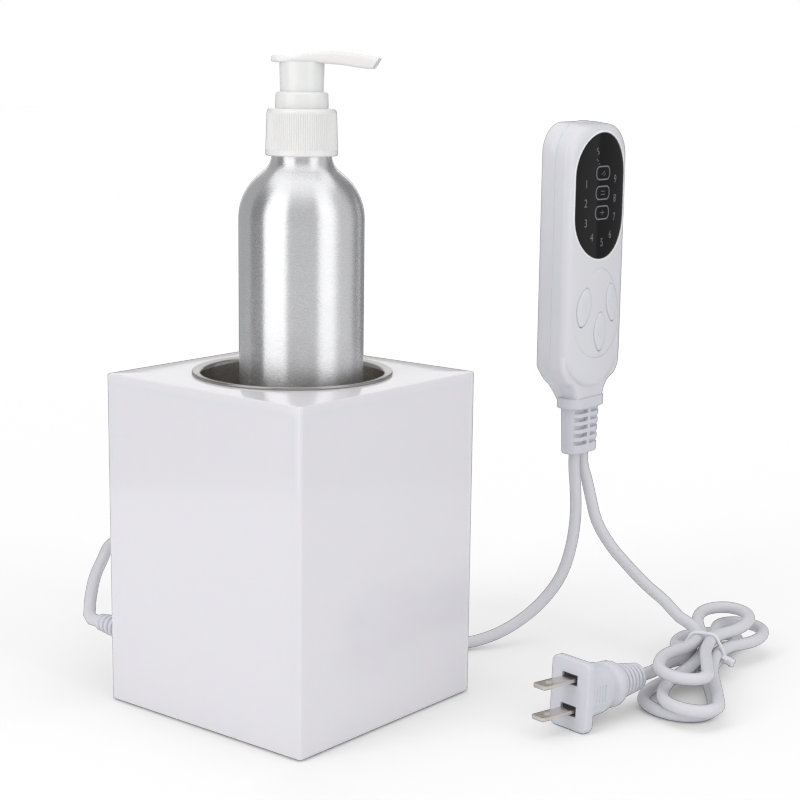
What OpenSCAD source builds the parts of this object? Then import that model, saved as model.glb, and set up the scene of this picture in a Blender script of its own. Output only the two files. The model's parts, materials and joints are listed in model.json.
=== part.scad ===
// Heated oil dispenser: a square acrylic warmer with a pump bottle in its well,
// a wired hand controller and a mains lead tied in a hank.
// Origin: centre of the warmer's base on the table. Z is up, the lead leaves the +Y face
// and the controller's buttons face -Y. Millimetres.

/* [Housing] */
// Width and depth of the square housing
housing_w = 104; // [100:1:110]
// Height of the housing's top face above the table
housing_h = 135.5; // [133:0.5:142]
// Thickness of the acrylic panels
panel_t = 4; // [3:0.5:5]
// Radius of the housing's upright edges
edge_r = 1.2; // [0.6:0.1:2]
// Height of the rubber feet
foot_h = 5; // [4:0.5:7]
// Thickness of the base plate
base_t = 3; // [2:0.5:4]
// Height of the lead's entry above the table
entry_z = 26; // [26:0.5:30]

/* [Well] */
// Inner radius of the steel well
well_r = 36.4; // [34:0.2:37]
// Height of the well's floor above the table
well_floor = 52; // [50:0.5:56]
// Sheet thickness of the well
well_t = 0.8; // [0.6:0.1:1]
// Width of the flat rim around the well's mouth
rim_w = 3.7; // [3.2:0.1:5]
// Thickness of the rolled rim
rim_t = 1.16; // [0.9:0.02:1.6]

/* [Bottle] */
// Outer diameter of the bottle
bottle_d = 49.4; // [46:0.2:52]
// Height above the table at which the bottle's shoulder starts
shoulder_z = 196.7; // [192:0.1:200]
// Wall thickness of the bottle
bottle_t = 0.8; // [0.6:0.1:1]
// Height of the threaded neck above the neck bead
finish_h = 15; // [14:0.1:16]

/* [Pump] */
// Height of the screw closure
closure_h = 18.6; // [17.6:0.1:19]
// Closure diameter at its top
closure_top_d = 27.1; // [26.6:0.1:28]
// Height of the lock ring above the closure
ring_h = 6.4; // [6:0.1:7]
// Stroke of the pump head
press_travel = 10.5; // [8:0.5:10.5]
// Reach of the nozzle from the pump axis
spout_reach = 30.8; // [28:0.2:36]
// Heading of the spout, in degrees from +X
spout_heading = -60; // [-180:5:180]
// Bore of the spout channel
spout_bore = 2.4; // [1.6:0.1:2.4]

/* [Controller] */
// Width of the hand controller
ctl_w = 46; // [45:0.5:50]
// Height of the hand controller
ctl_h = 124.5; // [123:0.5:130]
// Wall thickness of the controller shells
ctl_t = 2; // [1.8:0.1:2.2]
// Width of the display window
window_w = 38.5; // [36:0.5:39]
// Height of the display window
window_h = 56; // [50:0.5:56.5]
// Width of each leaf-shaped button
leaf_w = 9.6; // [8.6:0.1:10]
// Height of each leaf-shaped button
leaf_h = 17.6; // [16:0.1:18]
// Stroke of a button
button_travel = 0.5; // [0.3:0.1:0.5]

/* [Lead and plug] */
// Diameter of the round lead
cord_d = 5; // [4.6:0.1:5]
// Length of the plug's blades
blade_l = 17.6; // [16:0.1:18.2]
// Width of the plug's face
plug_w = 19.9; // [18:0.1:21]
// Height of the plug's face
plug_h = 28.5; // [27:0.1:28.5]

/* [Hidden] */
$fn = 64;

// Colours
acrylic = [0.9, 0.9, 0.93];
steel = [0.72, 0.72, 0.74];
aluminium = [0.83, 0.84, 0.86];
pump_white = [0.95, 0.94, 0.91];
shell_white = [0.86, 0.86, 0.88];
cord_white = [0.88, 0.89, 0.93];
black = [0.08, 0.08, 0.09];

// Housing, derived
half = housing_w / 2;
inner = half - panel_t;
wall_lift = 0.9;
top_under = housing_h - panel_t;
base_top = foot_h + base_t;
block_w = 10;
block_h = 10;
block_at = inner - block_w / 2;
screw_at = inner - 4.8;
foot_at = inner - 15;
foot_r = 7;
entry_x = 12 - half;
relief_l = 20.5;

// Well, derived
cup_r = well_r + well_t;
cup_floor = well_floor - well_t;
rim_r = well_r + rim_w;
mat_t = 3;
band_r = cup_r + 1.5;
sleeve_r = inner - 3.5;
sleeve_top = top_under - 13.5;
band_top = sleeve_top - 2;
pinch = 0.04;

// Bottle with a standard 24/410 neck, derived
bottle_at = [2.2, -2.7, 0];
thread_pitch = 3.175;
neck_r = 11.7;
thread_root_r = 10.7;
thread_tip_r = 11.8;
mouth_r = 9.7;
turn_deg = 64;
bottle_r = bottle_d / 2;
bottle_z = well_floor + mat_t;
shoulder_sum = (bottle_r - neck_r) / (1 - cos(turn_deg));
shoulder_r = 0.65 * shoulder_sum;
waist_r = 0.35 * shoulder_sum;
neck_z = shoulder_z + shoulder_sum * sin(turn_deg);
bead_z = neck_z + 3.6;
neck_top = bead_z + finish_h;

// Pump, derived; heights stack on the neck's top
gasket_t = 1;
flange_t = 1.2;
flange_r = 10.7;
closure_hole = 10.2;
closure_bore = 12;
inner_tip_r = 10.95;
closure_under = neck_top + gasket_t + flange_t;
closure_top = closure_under + 1.6;
closure_z = closure_top - closure_h;
closure_r = closure_top_d / 2;
rib_h = 0.35;
ring_r = 10.5;
ring_bore = 8.9;
ring_top = closure_top + ring_h;
guide_top = closure_under - 5.8;
guide_foot = guide_top - 10;
piston_l = 7.5;
piston_top = guide_foot - 0.4;
piston_foot = piston_top - piston_l;
chamber_r = 5.4;
chamber_foot = piston_foot - 27;
seat_z = chamber_foot - 6;
ball_r = 2.4;
ball_z = seat_z + 1.8;
stem_r = 3;
skirt_r = 8.6;
skirt_top = ring_top + press_travel + 0.5;
skirt_foot = ring_top - 2.8;
stem_top = skirt_top - 4.3;
spring_turns = 8;

// Controller, derived; its corner is the middle of the bottom edge
ctl_x = 151.5;
ctl_z = 109;
ctl_front = -46;
ctl_seam = -36;
ctl_back = -29;
crown_r = 121;
back_step = 1.2;
ctl_top_r = 16;
// Neck: half width, height of its flare and radius and angle of its two equal arcs
neck = 10.5;
flare_h = 17;
flare_deg = 2 * atan((ctl_w / 2 - neck) / flare_h);
flare_r = flare_h / sin(flare_deg) / 2;
// Raised face: lowest point, radius of its lower edge and of its lower corners
chin_z = 6.2;
chin_r = 27;
cheek_r = 9;
shelf = ctl_front + 2.8;
rim_y = ctl_front + 5.2;
face_in = -41.4;
recess = -42.9;
window_z = ctl_z + 91.7;
pad_z = ctl_z + 39.7;
board_y = -36.5;
board_t = 1.6;
board_w = ctl_w - 10;
board_h = ctl_h - 27.5;
switch_h = 1.8;
stem_end = board_y - switch_h - button_travel - 0.1;
fit = 0.15;
button_gap = 0.3;
left_leaf = [-11, 43, -13];
right_leaf = [11, 43.5, 12];
lower_leaf = [1.5, 31.2, 0];
screw_low = [12, 11];
screw_high = [17.4, 61.3];
grip_y = -37.5;
grip_foot = 84.5;
grip_top = ctl_z - 2.5;
cord_off = 3.3;
exit_back = [ctl_x - cord_off, grip_y, grip_foot];
exit_mains = [ctl_x + cord_off, grip_y, grip_foot];

// Lead, derived: entry at the warmer and the hand-laid route on the table
cord_r = cord_d / 2;
entry_tip = [entry_x, half + relief_l, entry_z];
warmer_route = [
    entry_tip, entry_tip + [0, cord_d, 0], [-35.5, 83.8, 28.5], [-27.8, 91.5, 32],
    [-17.3, 101, 35], [-2, 113.5, 37], [16, 129, 37], [40, 145, 33], [64, 163, 25.5],
    [88, 180, 16], [110, 191.5, 8], [127, 190, 4], [138, 179, 2.7], [141, 158, 2.5],
    [130, 125, 2.5], [108, 88, 2.5], [86, 55, 2.5], [76, 25, 2.5],
    [81, 0, 2.5], [92, -17, 3], [104, -24.5, 5], [117, -31, 10.5], [128, -36.5, 19],
    [136.5, -40.4, 30], [142, -41.4, 42.5], [146, -40.6, 56], [147.8, -38.8, 69],
    exit_back - [0, 0, cord_d], exit_back
];
hank_at = [134, -116];
hank_turn = 18;

// Hank: seven strands at the waist and six flat bows, three to each side
row_z = [4.8, 10.3, 15.8];
strand_step = 2.9;
// Each seat: steps across the waist and row
seats = [[1, 2], [-1, 2], [0, 1], [-2, 1], [1, 0], [-1, 0], [2, 1]];
// Each bow: side, reach, end radius, sideways offset, height, lean and rise of its tip
bows = [
    [-1, 57, 10, 4.6, 18.2, -9, -0.6], [1, 43.8, 11, -1.8, 15.2, -0.5, 3],
    [-1, 66.2, 11.4, 0.3, 8.5, -10, -0.3], [1, 49, 10.4, -10.3, 9.5, 3.2, 0.8],
    [-1, 59, 14.4, 4.5, 2.8, -7, 0], [1, 49.5, 12, 11, 3.2, -9.5, 0.6]
];
leg_rings = 7;
end_rings = 10;
mains_route = [
    exit_mains, exit_mains - [0, 0, cord_d], [154, -40.6, 72], [152.5, -44.2, 64],
    [150.6, -49, 54], [149, -58.3, 44], [147, -69, 37], [144, -80.8, 31],
    on_waist(17, 20.9, 25.5), on_waist(12.7, 13.6, 20.8), on_waist(9.6, 5.4, 17.5),
    on_waist(cord_d, seat(0)[0], seat(0)[1]), on_waist(0, seat(0)[0], seat(0)[1])
];

// Plug, derived
plug_turn = 170.8;
plug_dip = 2.2;
plug_at = [43.1, -108, 14.46];
plug_l = 41.5;
plug_end = plug_at - plug_l * plug_dir();
tail_start = on_waist(-cord_d, seat(6)[0], seat(6)[1]);
tail_route = [
    tail_start, on_waist(-2 * cord_d, seat(6)[0], seat(6)[1]), on_waist(-16.6, 9.4, 10.5),
    on_waist(-30.1, 12.5, 11.4),
    plug_end - cord_d * plug_dir(), plug_end
];

function unit(v) = v / norm(v);
function on_waist(s, q, z) = [
    hank_at[0] + s * cos(hank_turn) - q * sin(hank_turn),
    hank_at[1] + s * sin(hank_turn) + q * cos(hank_turn),
    z
];
function seat(i) = [seats[i][0] * strand_step, row_z[seats[i][1]]];
function plug_dir() = [
    cos(plug_turn) * cos(plug_dip), sin(plug_turn) * cos(plug_dip), sin(plug_dip)
];

// Smooth route: unit headings from the neighbours, straight at both ends
function heading(p, i, a, b) =
    i <= 1 ? a
    : i >= len(p) - 2 ? b
    : let (f = norm(p[i] - p[i - 1]), g = norm(p[i + 1] - p[i]))
      ((p[i] - p[i - 1]) * g / f + (p[i + 1] - p[i]) * f / g) / (f + g);
function blend(p, m, n, g, t) =
    (2 * pow(t, 3) - 3 * t * t + 1) * p + (pow(t, 3) - 2 * t * t + t) * g * m
    + (3 * t * t - 2 * pow(t, 3)) * n[0] + (pow(t, 3) - t * t) * g * n[1];
function smooth(p, a, b, gap) = [
    for (i = [0 : len(p) - 2])
        let (g = norm(p[i + 1] - p[i]), n = max(1, round(g / gap)))
        for (k = [0 : n - 1])
            blend(p[i], heading(p, i, a, b), [p[i + 1], heading(p, i + 1, a, b)], g, k / n),
    p[len(p) - 1]
];
function path_length(p, i = 0) =
    i >= len(p) - 1 ? 0 : norm(p[i + 1] - p[i]) + path_length(p, i + 1);

// Round tube along a list of points, with headings a and b at its ends
module tube(path, r, a, b, sides = 10) {
    n = len(path);
    t = [
        for (i = [0 : n - 1])
            i == 0 ? a : i == n - 1 ? b : unit(path[i + 1] - path[i - 1])
    ];
    first = unit(cross(abs(a[2]) < 0.9 ? [0, 0, 1] : [1, 0, 0], a));
    across = [
        for (i = 0, v = first; i < n; i = i + 1, v = i < n ? unit(v - (v * t[i]) * t[i]) : v) v
    ];
    points = [
        for (i = [0 : n - 1])
            for (k = [0 : sides - 1])
                let (w = 360 * k / sides)
                path[i] + r * (cos(w) * across[i] + sin(w) * cross(t[i], across[i]))
    ];
    faces = [
        [for (k = [0 : sides - 1]) k],
        for (i = [0 : n - 2])
            for (k = [0 : sides - 1])
                let (u = i * sides + k, v = i * sides + (k + 1) % sides)
                [u, u + sides, v + sides],
        for (i = [0 : n - 2])
            for (k = [0 : sides - 1])
                let (u = i * sides + k, v = i * sides + (k + 1) % sides)
                [u, v + sides, v],
        [for (k = [0 : sides - 1]) n * sides - 1 - k]
    ];
    polyhedron(points = points, faces = faces, convexity = 6);
}

// Hank path: a leg sways sideways in two equal arcs and eases to the bow's height
function sway(x, run, shift) =
    let (r = (run * run + shift * shift) / (4 * abs(shift)), k = sign(shift))
    x <= run / 2 ? k * (r - sqrt(r * r - x * x))
    : shift - k * (r - sqrt(r * r - pow(run - x, 2)));
function ease(t) = (1 - cos(180 * min(t, 1))) / 2;
function leg_point(bow, q, z, k, x) =
    let (run = bow[1] - bow[2])
    on_waist(
        bow[0] * x,
        q + sway(x, run, bow[3] + k * bow[2] - q) + bow[5] * pow(x / bow[1], 2),
        z + (bow[4] - z) * ease(x / run / 0.8) + bow[6] * pow(x / bow[1], 2)
    );
function bow_points(i) =
    let (
        bow = bows[i], from = seat(i), to = seat(i + 1), run = bow[1] - bow[2],
        k = from[0] > to[0] ? 1 : -1
    )
    [
        for (n = [0 : leg_rings - 1]) leg_point(bow, from[0], from[1], k, run * n / leg_rings),
        for (n = [0 : end_rings - 1])
            let (w = 180 * n / end_rings, x = run + bow[2] * sin(w), f = pow(x / bow[1], 2))
            on_waist(
                bow[0] * x, bow[3] + k * bow[2] * cos(w) + bow[5] * f, bow[4] + bow[6] * f
            ),
        for (n = [0 : leg_rings - 1])
            leg_point(bow, to[0], to[1], -k, run * (1 - n / leg_rings))
    ];
hank_path = [
    for (i = [0 : 5]) each bow_points(i),
    on_waist(0, seat(6)[0], seat(6)[1]),
    tail_start
];
waist_dir = [-cos(hank_turn), -sin(hank_turn), 0];
warmer_path = smooth(warmer_route, [0, 1, 0], [0, 0, 1], 14);
mains_path = smooth(mains_route, [0, 0, -1], waist_dir, 11);
tail_path = smooth(tail_route, waist_dir, plug_dir(), 8);

// Least clearance of the hank to itself, over pairs far apart along the lead
hank_fine = [
    for (i = [0 : len(hank_path) - 2])
        for (k = [0 : 2]) hank_path[i] + (hank_path[i + 1] - hank_path[i]) * k / 3
];
hank_gap = min([
    for (i = [0 : 3 : len(hank_fine) - 1])
        for (j = [i + 12 : len(hank_fine) - 1]) norm(hank_fine[i] - hank_fine[j])
]) - cord_d;

// Helpers
module tube_ring(r_out, r_in, z0, z1) {
    difference() {
        translate([0, 0, z0]) cylinder(h = z1 - z0, r = r_out);
        translate([0, 0, z0 - 1]) cylinder(h = z1 - z0 + 2, r = r_in);
    }
}
module cone(r0, r1, z0, z1) {
    translate([0, 0, z0]) cylinder(h = z1 - z0, r1 = r0, r2 = r1);
}
module four(at) {
    for (x = [-1, 1])
        for (y = [-1, 1]) translate([x * at, y * at, 0]) children();
}
module stadium(w, d, h) {
    r = d / 2;
    translate([-(w - d) / 2, -r, 0]) cube([w - d, d, h]);
    for (k = [-1, 1]) translate([k * (w - d) / 2, 0, 0]) cylinder(h = h, r = r);
}
module round_square(w, r, h) {
    translate([-w / 2 + r, -w / 2, 0]) cube([w - 2 * r, w, h]);
    translate([-w / 2, -w / 2 + r, 0]) cube([w, w - 2 * r, h]);
    four(w / 2 - r) cylinder(h = h, r = r, $fn = 32);
}
function arc_points(cx, cy, r, a, b, n) =
    [for (k = [0 : n]) let (w = a + (b - a) * k / n) [cx + r * cos(w), cy + r * sin(w)]];

// Housing
module panel_block(x0, x1, y0, y1) {
    intersection() {
        translate([0, 0, wall_lift]) round_square(housing_w, edge_r, top_under - wall_lift);
        translate([x0, y0, 0]) cube([x1 - x0, y1 - y0, housing_h]);
    }
}
module front_panel() color(acrylic) panel_block(-half, half, -half, -inner);
module back_panel() color(acrylic) {
    difference() {
        panel_block(-half, half, inner, half);
        translate([entry_x, inner - 1, entry_z])
            rotate([-90, 0, 0]) cylinder(h = panel_t + 2, r = 4.75);
    }
}
module left_panel() color(acrylic) panel_block(-half, -inner, -inner, inner);
module right_panel() color(acrylic) panel_block(inner, half, -inner, inner);
module top_panel() color(acrylic) {
    difference() {
        translate([0, 0, top_under]) round_square(housing_w, edge_r, panel_t);
        translate([0, 0, top_under - 1]) cylinder(h = panel_t + 2, r = cup_r + 0.4);
    }
}
module base_plate() color(shell_white) {
    difference() {
        translate([-inner + 0.2, -inner + 0.2, foot_h])
            cube([2 * inner - 0.4, 2 * inner - 0.4, base_t]);
        four(screw_at) {
            translate([0, 0, foot_h - 1]) cylinder(h = base_t + 2, r = 1.7);
            translate([0, 0, foot_h - 1]) cylinder(h = 2.2, r = 3.2);
        }
    }
}
module corner_blocks() color(shell_white) {
    difference() {
        four(block_at)
            translate([-block_w / 2, -block_w / 2, base_top]) cube([block_w, block_w, block_h]);
        four(screw_at) translate([0, 0, base_top - 1]) cylinder(h = 8, r = 1.3);
    }
}
module base_screws() color(steel) {
    four(screw_at) {
        difference() {
            translate([0, 0, foot_h + 0.1]) cylinder(h = 1.1, r = 2.9);
            translate([-2, -0.3, foot_h]) cube([4, 0.6, 0.6]);
        }
        translate([0, 0, foot_h + 1]) cylinder(h = base_t + 4.5, r = 1.34);
    }
}
module rubber_feet() color(black) {
    four(foot_at) cone(foot_r - 0.6, foot_r, 0, foot_h);
    cone(foot_r - 0.6, foot_r, 0, foot_h);
}

// Well, heater and wiring
module well_cup() color(steel) {
    tube_ring(cup_r, well_r, cup_floor, housing_h);
    translate([0, 0, cup_floor]) cylinder(h = well_t, r = cup_r);
    tube_ring(rim_r - rim_t / 2, well_r, housing_h, housing_h + rim_t);
    translate([0, 0, housing_h + rim_t / 2])
        rotate_extrude() translate([rim_r - rim_t / 2, 0]) circle(r = rim_t / 2, $fn = 24);
}
module well_clip_ring() color(steel)
    tube_ring(cup_r + 4, cup_r - pinch, top_under - 2, top_under);
module well_mat() color(black) {
    difference() {
        translate([0, 0, well_floor]) cylinder(h = mat_t, r = well_r - 3.4);
        for (k = [0 : 2]) tube_ring(9 + 7 * k, 7.6 + 7 * k, bottle_z - 0.8, bottle_z + 1);
    }
}
module heater_band() color([0.75, 0.6, 0.35]) {
    difference() {
        tube_ring(band_r, cup_r - pinch, well_floor + 4, band_top);
        translate([-2.5, 30, well_floor + 3]) cube([5, 20, band_top - well_floor - 2]);
    }
}
module insulation_sleeve() color([0.8, 0.8, 0.76])
    tube_ring(sleeve_r, band_r - pinch, well_floor + 3, sleeve_top);
module thermal_cutoff() color([0.3, 0.3, 0.32]) {
    translate([0, 0, cup_floor - 7]) cylinder(h = 7, r = 8);
    for (k = [-1, 1]) translate([k * 5 - 1.6, -0.4, cup_floor - 11]) cube([3.2, 0.8, 4.4]);
}
module temperature_probe() color(steel) translate([22, 12, 0]) {
    translate([0, 0, cup_floor - 10]) cylinder(h = 10, r = 2.6);
    translate([0, 0, cup_floor - 3]) cylinder(h = 3, r = 4.2);
}
module terminal_block() color(pump_white) {
    difference() {
        translate([-17, -9, base_top]) cube([34, 18, 14]);
        for (k = [-1, 0, 1])
            translate([k * 11.3, -6.3, base_top + 8]) cylinder(h = 8, r = 1.6, $fn = 24);
        translate([-18, -10, base_top + 10]) cube([36, 4.6, 6]);
    }
}
block_top = base_top + 14;
module inner_wire(route, a, b) {
    tube(smooth(route, a, b, 7), 0.6, a, b, 6);
}
module inner_leads() color([0.75, 0.25, 0.2]) {
    for (k = [-1, 1]) {
        translate([k * 5, 0, block_top])
            cylinder(h = cup_floor - 11 - block_top, r = 0.9, $fn = 24);
        inner_wire(
            [
                [k * 10, -cup_r + 0.6, well_floor + 4],
                [k * 10, -cup_r + 0.6, well_floor - 3], [k * 10.5, -30, 36],
                [k * 11.3, -14, 29], [k * 11.3, -1, block_top + 3], [k * 11.3, 0, block_top]
            ],
            [0, 0, -1], [0, 0, -1]
        );
        inner_wire(
            [
                [entry_x + k * 2, inner - 5, entry_z], [entry_x + k * 2, inner - 8, entry_z],
                [-28 + k * 2, 22, 27], [-16 + k, 8 + k * 2, 27.5],
                [-13, 3 + k * 2, block_top + 3], [-13, 3 + k * 2, block_top]
            ],
            [0, -1, 0], [0, 0, -1]
        );
    }
    inner_wire(
        [
            [22, 12, cup_floor - 10], [22, 12, cup_floor - 13], [12, 24, 31], [-10, 36, 30],
            [-30, 38, 30], [entry_x, inner - 8, entry_z + 3.5], [entry_x, inner - 5, entry_z + 3.5]
        ],
        [0, 0, -1], [0, 1, 0]
    );
}
module base_strain_relief() color(cord_white)
    translate([entry_x, 0, entry_z]) rotate([-90, 0, 0]) {
    translate([0, 0, inner - 5]) cylinder(h = 5, r = 6.6);
    translate([0, 0, inner - 1]) cylinder(h = panel_t + 2, r = 4.6);
    cone(5.6, 5.4, half, half + 2.4);
    cone(3.7, 2.9, half, half + relief_l);
    for (k = [0 : 5])
        cone(5.2 - 0.34 * k, 5.05 - 0.34 * k, half + 3.6 + 2.85 * k, half + 5.4 + 2.85 * k);
}

// Bottle
function bottle_outer() = [
    [0, bottle_z], each arc_points(bottle_r - 2, bottle_z + 2, 2, -90, 0, 4),
    each arc_points(bottle_r - shoulder_r, shoulder_z, shoulder_r, 0, turn_deg, 10),
    each arc_points(neck_r + waist_r, neck_z, waist_r, 180 + turn_deg, 180, 8),
    [neck_r, bead_z], [thread_root_r, bead_z], [thread_root_r, neck_top], [mouth_r, neck_top]
];
function bottle_inner() = [
    [mouth_r, neck_z + 2.2],
    each arc_points(neck_r + waist_r, neck_z, waist_r + bottle_t, 180, 180 + turn_deg, 8),
    each arc_points(bottle_r - shoulder_r, shoulder_z, shoulder_r - bottle_t, turn_deg, 0, 10),
    each arc_points(bottle_r - 2, bottle_z + 2, 2 - bottle_t, 0, -90, 4),
    [0, bottle_z + bottle_t]
];
// Ridge of a trapezoid thread: flank angles taper to nothing at both ends
module thread_ridge(r_root, r_tip, z0, turns, outward) {
    steps = round(turns * 32);
    path = [
        for (i = [0 : steps])
            let (
                w = 360 * turns * i / steps, k = min(1, min(i, steps - i) / 4 + 0.08),
                tip = r_root + (r_tip - r_root) * k, z = z0 + thread_pitch * w / 360,
                root = r_root - outward * 0.15
            )
            [w, root, tip, z, 0.35 + 0.45 * k]
    ];
    points = [
        for (p = path)
            each [
                [p[1] * cos(p[0]), p[1] * sin(p[0]), p[3] - 0.8],
                [p[2] * cos(p[0]), p[2] * sin(p[0]), p[3] - 0.35],
                [p[2] * cos(p[0]), p[2] * sin(p[0]), p[3] + 0.35],
                [p[1] * cos(p[0]), p[1] * sin(p[0]), p[3] + 0.8]
            ]
    ];
    quads = [
        for (i = [0 : steps - 1])
            for (k = [0 : 3])
                let (u = 4 * i + k, v = 4 * i + (k + 1) % 4)
                each (outward > 0 ? [[u, v, v + 4], [u, v + 4, u + 4]]
                                  : [[u, v + 4, v], [u, u + 4, v + 4]])
    ];
    ends = outward > 0
        ? [[3, 2, 1, 0], [4 * steps, 4 * steps + 1, 4 * steps + 2, 4 * steps + 3]]
        : [[0, 1, 2, 3], [4 * steps + 3, 4 * steps + 2, 4 * steps + 1, 4 * steps]];
    polyhedron(points = points, faces = concat(quads, ends), convexity = 4);
}
outer_thread_z = neck_top - 8.2;
inner_thread_z = outer_thread_z - thread_pitch / 2;
module bottle() color(aluminium) translate(bottle_at) {
    rotate_extrude($fn = 96) polygon(concat(bottle_outer(), bottle_inner()));
    thread_ridge(thread_root_r, thread_tip_r, outer_thread_z, 1.25, 1);
}

// Pump
module bottle_gasket() color(black) translate(bottle_at)
    tube_ring(thread_root_r - 0.2, mouth_r + 0.1, neck_top, neck_top + gasket_t);
module pump_closure() color(pump_white) translate(bottle_at) {
    difference() {
        cone(closure_r + 0.6 - rib_h, closure_r - rib_h, closure_z, closure_top);
        translate([0, 0, closure_z - 1]) cylinder(h = closure_under - closure_z + 1, r = closure_bore);
        translate([0, 0, closure_z]) cylinder(h = closure_h + 1, r = closure_hole);
    }
    for (k = [0 : 47])
        rotate([0, 0, 7.5 * k])
            translate([closure_r + 0.6 - 2 * rib_h, -0.35, closure_z + 1])
                rotate([0, -atan(0.6 / closure_h), 0]) cube([2 * rib_h, 0.7, closure_h - 2.2]);
    thread_ridge(closure_bore, inner_tip_r, inner_thread_z, 1, -1);
}
module pump_lock_ring() color(pump_white) translate(bottle_at) {
    difference() {
        union() {
            translate([0, 0, closure_top]) cylinder(h = ring_h - 1.2, r = ring_r);
            cone(ring_r, ring_r - 1, ring_top - 1.2, ring_top);
            translate([0, 0, closure_under]) cylinder(h = 3, r = closure_hole - 0.35);
        }
        translate([0, 0, closure_under - 1]) cylinder(h = ring_h + 5, r = ring_bore);
    }
}
module pump_cylinder() color([0.93, 0.93, 0.9]) translate(bottle_at) {
    cup_foot = guide_top - 2.2;
    tube_ring(flange_r, ring_bore, closure_under - flange_t, closure_under);
    tube_ring(mouth_r - 0.2, ring_bore, cup_foot, closure_under);
    tube_ring(mouth_r - 0.2, chamber_r, cup_foot - 1.2, cup_foot);
    tube_ring(chamber_r + 1.1, chamber_r, chamber_foot, cup_foot);
    tube_ring(chamber_r + 1.1, 3.2, seat_z, chamber_foot);
    tube_ring(chamber_r + 1.1, 1.75, seat_z - 1, seat_z);
    tube_ring(5.2, 3.72, seat_z - 9, seat_z - 1);
}
module stem_guide() color([0.9, 0.9, 0.88]) translate(bottle_at) {
    tube_ring(ring_bore - 0.1, stem_r + 0.3, guide_top - 1, guide_top);
    tube_ring(chamber_r - 0.1, stem_r + 0.3, guide_foot, guide_top);
    tube_ring(ring_bore - 0.1, ring_bore - 1.2, guide_top - 2.2, guide_top);
}
module pump_spring() color(steel) translate(bottle_at) {
    z0 = chamber_foot + 0.45;
    z1 = piston_foot - 0.45;
    rings = spring_turns * 8;
    path = [
        for (i = [0 : rings])
            let (w = 360 * spring_turns * i / rings)
            [3.95 * cos(w), 3.95 * sin(w), z0 + (z1 - z0) * i / rings]
    ];
    tube(path, 0.4, [0, 1, 0], [0, 1, 0], 6);
}
module pump_piston() color([0.85, 0.85, 0.9]) translate(bottle_at) {
    difference() {
        union() {
            translate([0, 0, piston_foot]) cylinder(h = 2, r = chamber_r - 0.06);
            translate([0, 0, piston_foot]) cylinder(h = piston_l, r = chamber_r - 0.7);
            translate([0, 0, piston_top - 2]) cylinder(h = 2, r = chamber_r - 0.06);
        }
        translate([0, 0, piston_foot + 1]) cylinder(h = piston_l, r = stem_r + 0.05);
        translate([0, 0, piston_foot - 1]) cylinder(h = 4, r = 1.6);
    }
}
module pump_stem() color([0.93, 0.93, 0.9]) translate(bottle_at)
    tube_ring(stem_r, 1.75, piston_foot + 1.1, stem_top);
module inlet_ball() color(steel)
    translate(bottle_at + [0, 0, ball_z]) sphere(r = ball_r, $fn = 32);
module dip_tube() color([0.92, 0.93, 0.95]) translate(bottle_at)
    tube_ring(3.75, 3, bottle_z + 5, seat_z - 1);
module pump_head() color(pump_white) translate(bottle_at) rotate([0, 0, spout_heading]) {
    tail_x = -11.6;
    rear_r = 8;
    tip_w = 4;
    rear_x = tail_x + rear_r;
    slope = asin((rear_r - tip_w) / (spout_reach - rear_x));
    side = [
        [tail_x, 0], [8.6, -0.2], [spout_reach - 14.5, -0.7], [spout_reach - 4.6, -2.1],
        [spout_reach - 2.5, -2.1], [spout_reach, 2.1], [spout_reach - 10.8, 4.1], [12, 4.7],
        [3, 3.7], [-4.4, 2.3], [-10.5, 3], [tail_x, 2.2]
    ];
    plan = concat(
        arc_points(rear_x, 0, rear_r, 90 - slope, 270 + slope, 20),
        [[spout_reach + 1, -tip_w], [spout_reach + 1, tip_w]]
    );
    difference() {
        union() {
            intersection() {
                translate([0, 10, skirt_top]) rotate([90, 0, 0]) linear_extrude(20) polygon(side);
                translate([0, 0, skirt_top - 4]) linear_extrude(14) polygon(plan);
            }
            cone(skirt_r - 0.15, skirt_r, skirt_foot, skirt_top);
        }
        difference() {
            translate([0, 0, skirt_foot - 1])
                cylinder(h = skirt_top - skirt_foot - 0.5, r = skirt_r - 1.3);
            translate([0, 0, skirt_foot - 2]) cylinder(h = skirt_top, r = 4.6);
        }
        translate([0, 0, skirt_foot - 1]) cylinder(h = stem_top - skirt_foot + 1, r = stem_r);
        translate([0, 0, stem_top - 1]) cylinder(h = skirt_top + 3 - stem_top + 1, r = 1.75);
        translate([-0.5, 0, skirt_top + 2.3]) rotate([0, 94.8, 0])
            cylinder(h = spout_reach + 4, r = spout_bore / 2, $fn = 32);
    }
}

// Controller
function top_points(inset) =
    let (x = ctl_w / 2 - ctl_top_r, z = ctl_h - ctl_top_r, r = ctl_top_r - inset)
    concat(arc_points(x, z, r, 0, 90, 8), arc_points(-x, z, r, 90, 180, 8));
// Full outline: the sides sweep in to the neck in two equal arcs
function outline_points(inset) =
    let (
        x = ctl_w / 2 - flare_r, c = neck + flare_r, a = flare_deg, in = flare_r + inset,
        out = flare_r - inset, low = asin(inset / in)
    )
    concat(
        arc_points(-x, flare_h, out, 180, 180 + a, 8), arc_points(-c, 0, in, a, low, 8),
        arc_points(c, 0, in, 180 - low, 180 - a, 8), arc_points(x, flare_h, out, 360 - a, 360, 8),
        top_points(inset)
    );
// Outline of the raised face: a wide arc below, tangent to its corners
function face_points(inset) =
    let (
        x = ctl_w / 2 - cheek_r, drop = sqrt(pow(chin_r - cheek_r, 2) - x * x),
        z = chin_z + chin_r, r = cheek_r - inset, a = atan(drop / x)
    )
    concat(
        arc_points(-x, z - drop, r, 180, 180 + a, 4),
        arc_points(0, z, chin_r - inset, 180 + a, 360 - a, 14),
        arc_points(x, z - drop, r, 360 - a, 360, 4), top_points(inset)
    );
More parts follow.
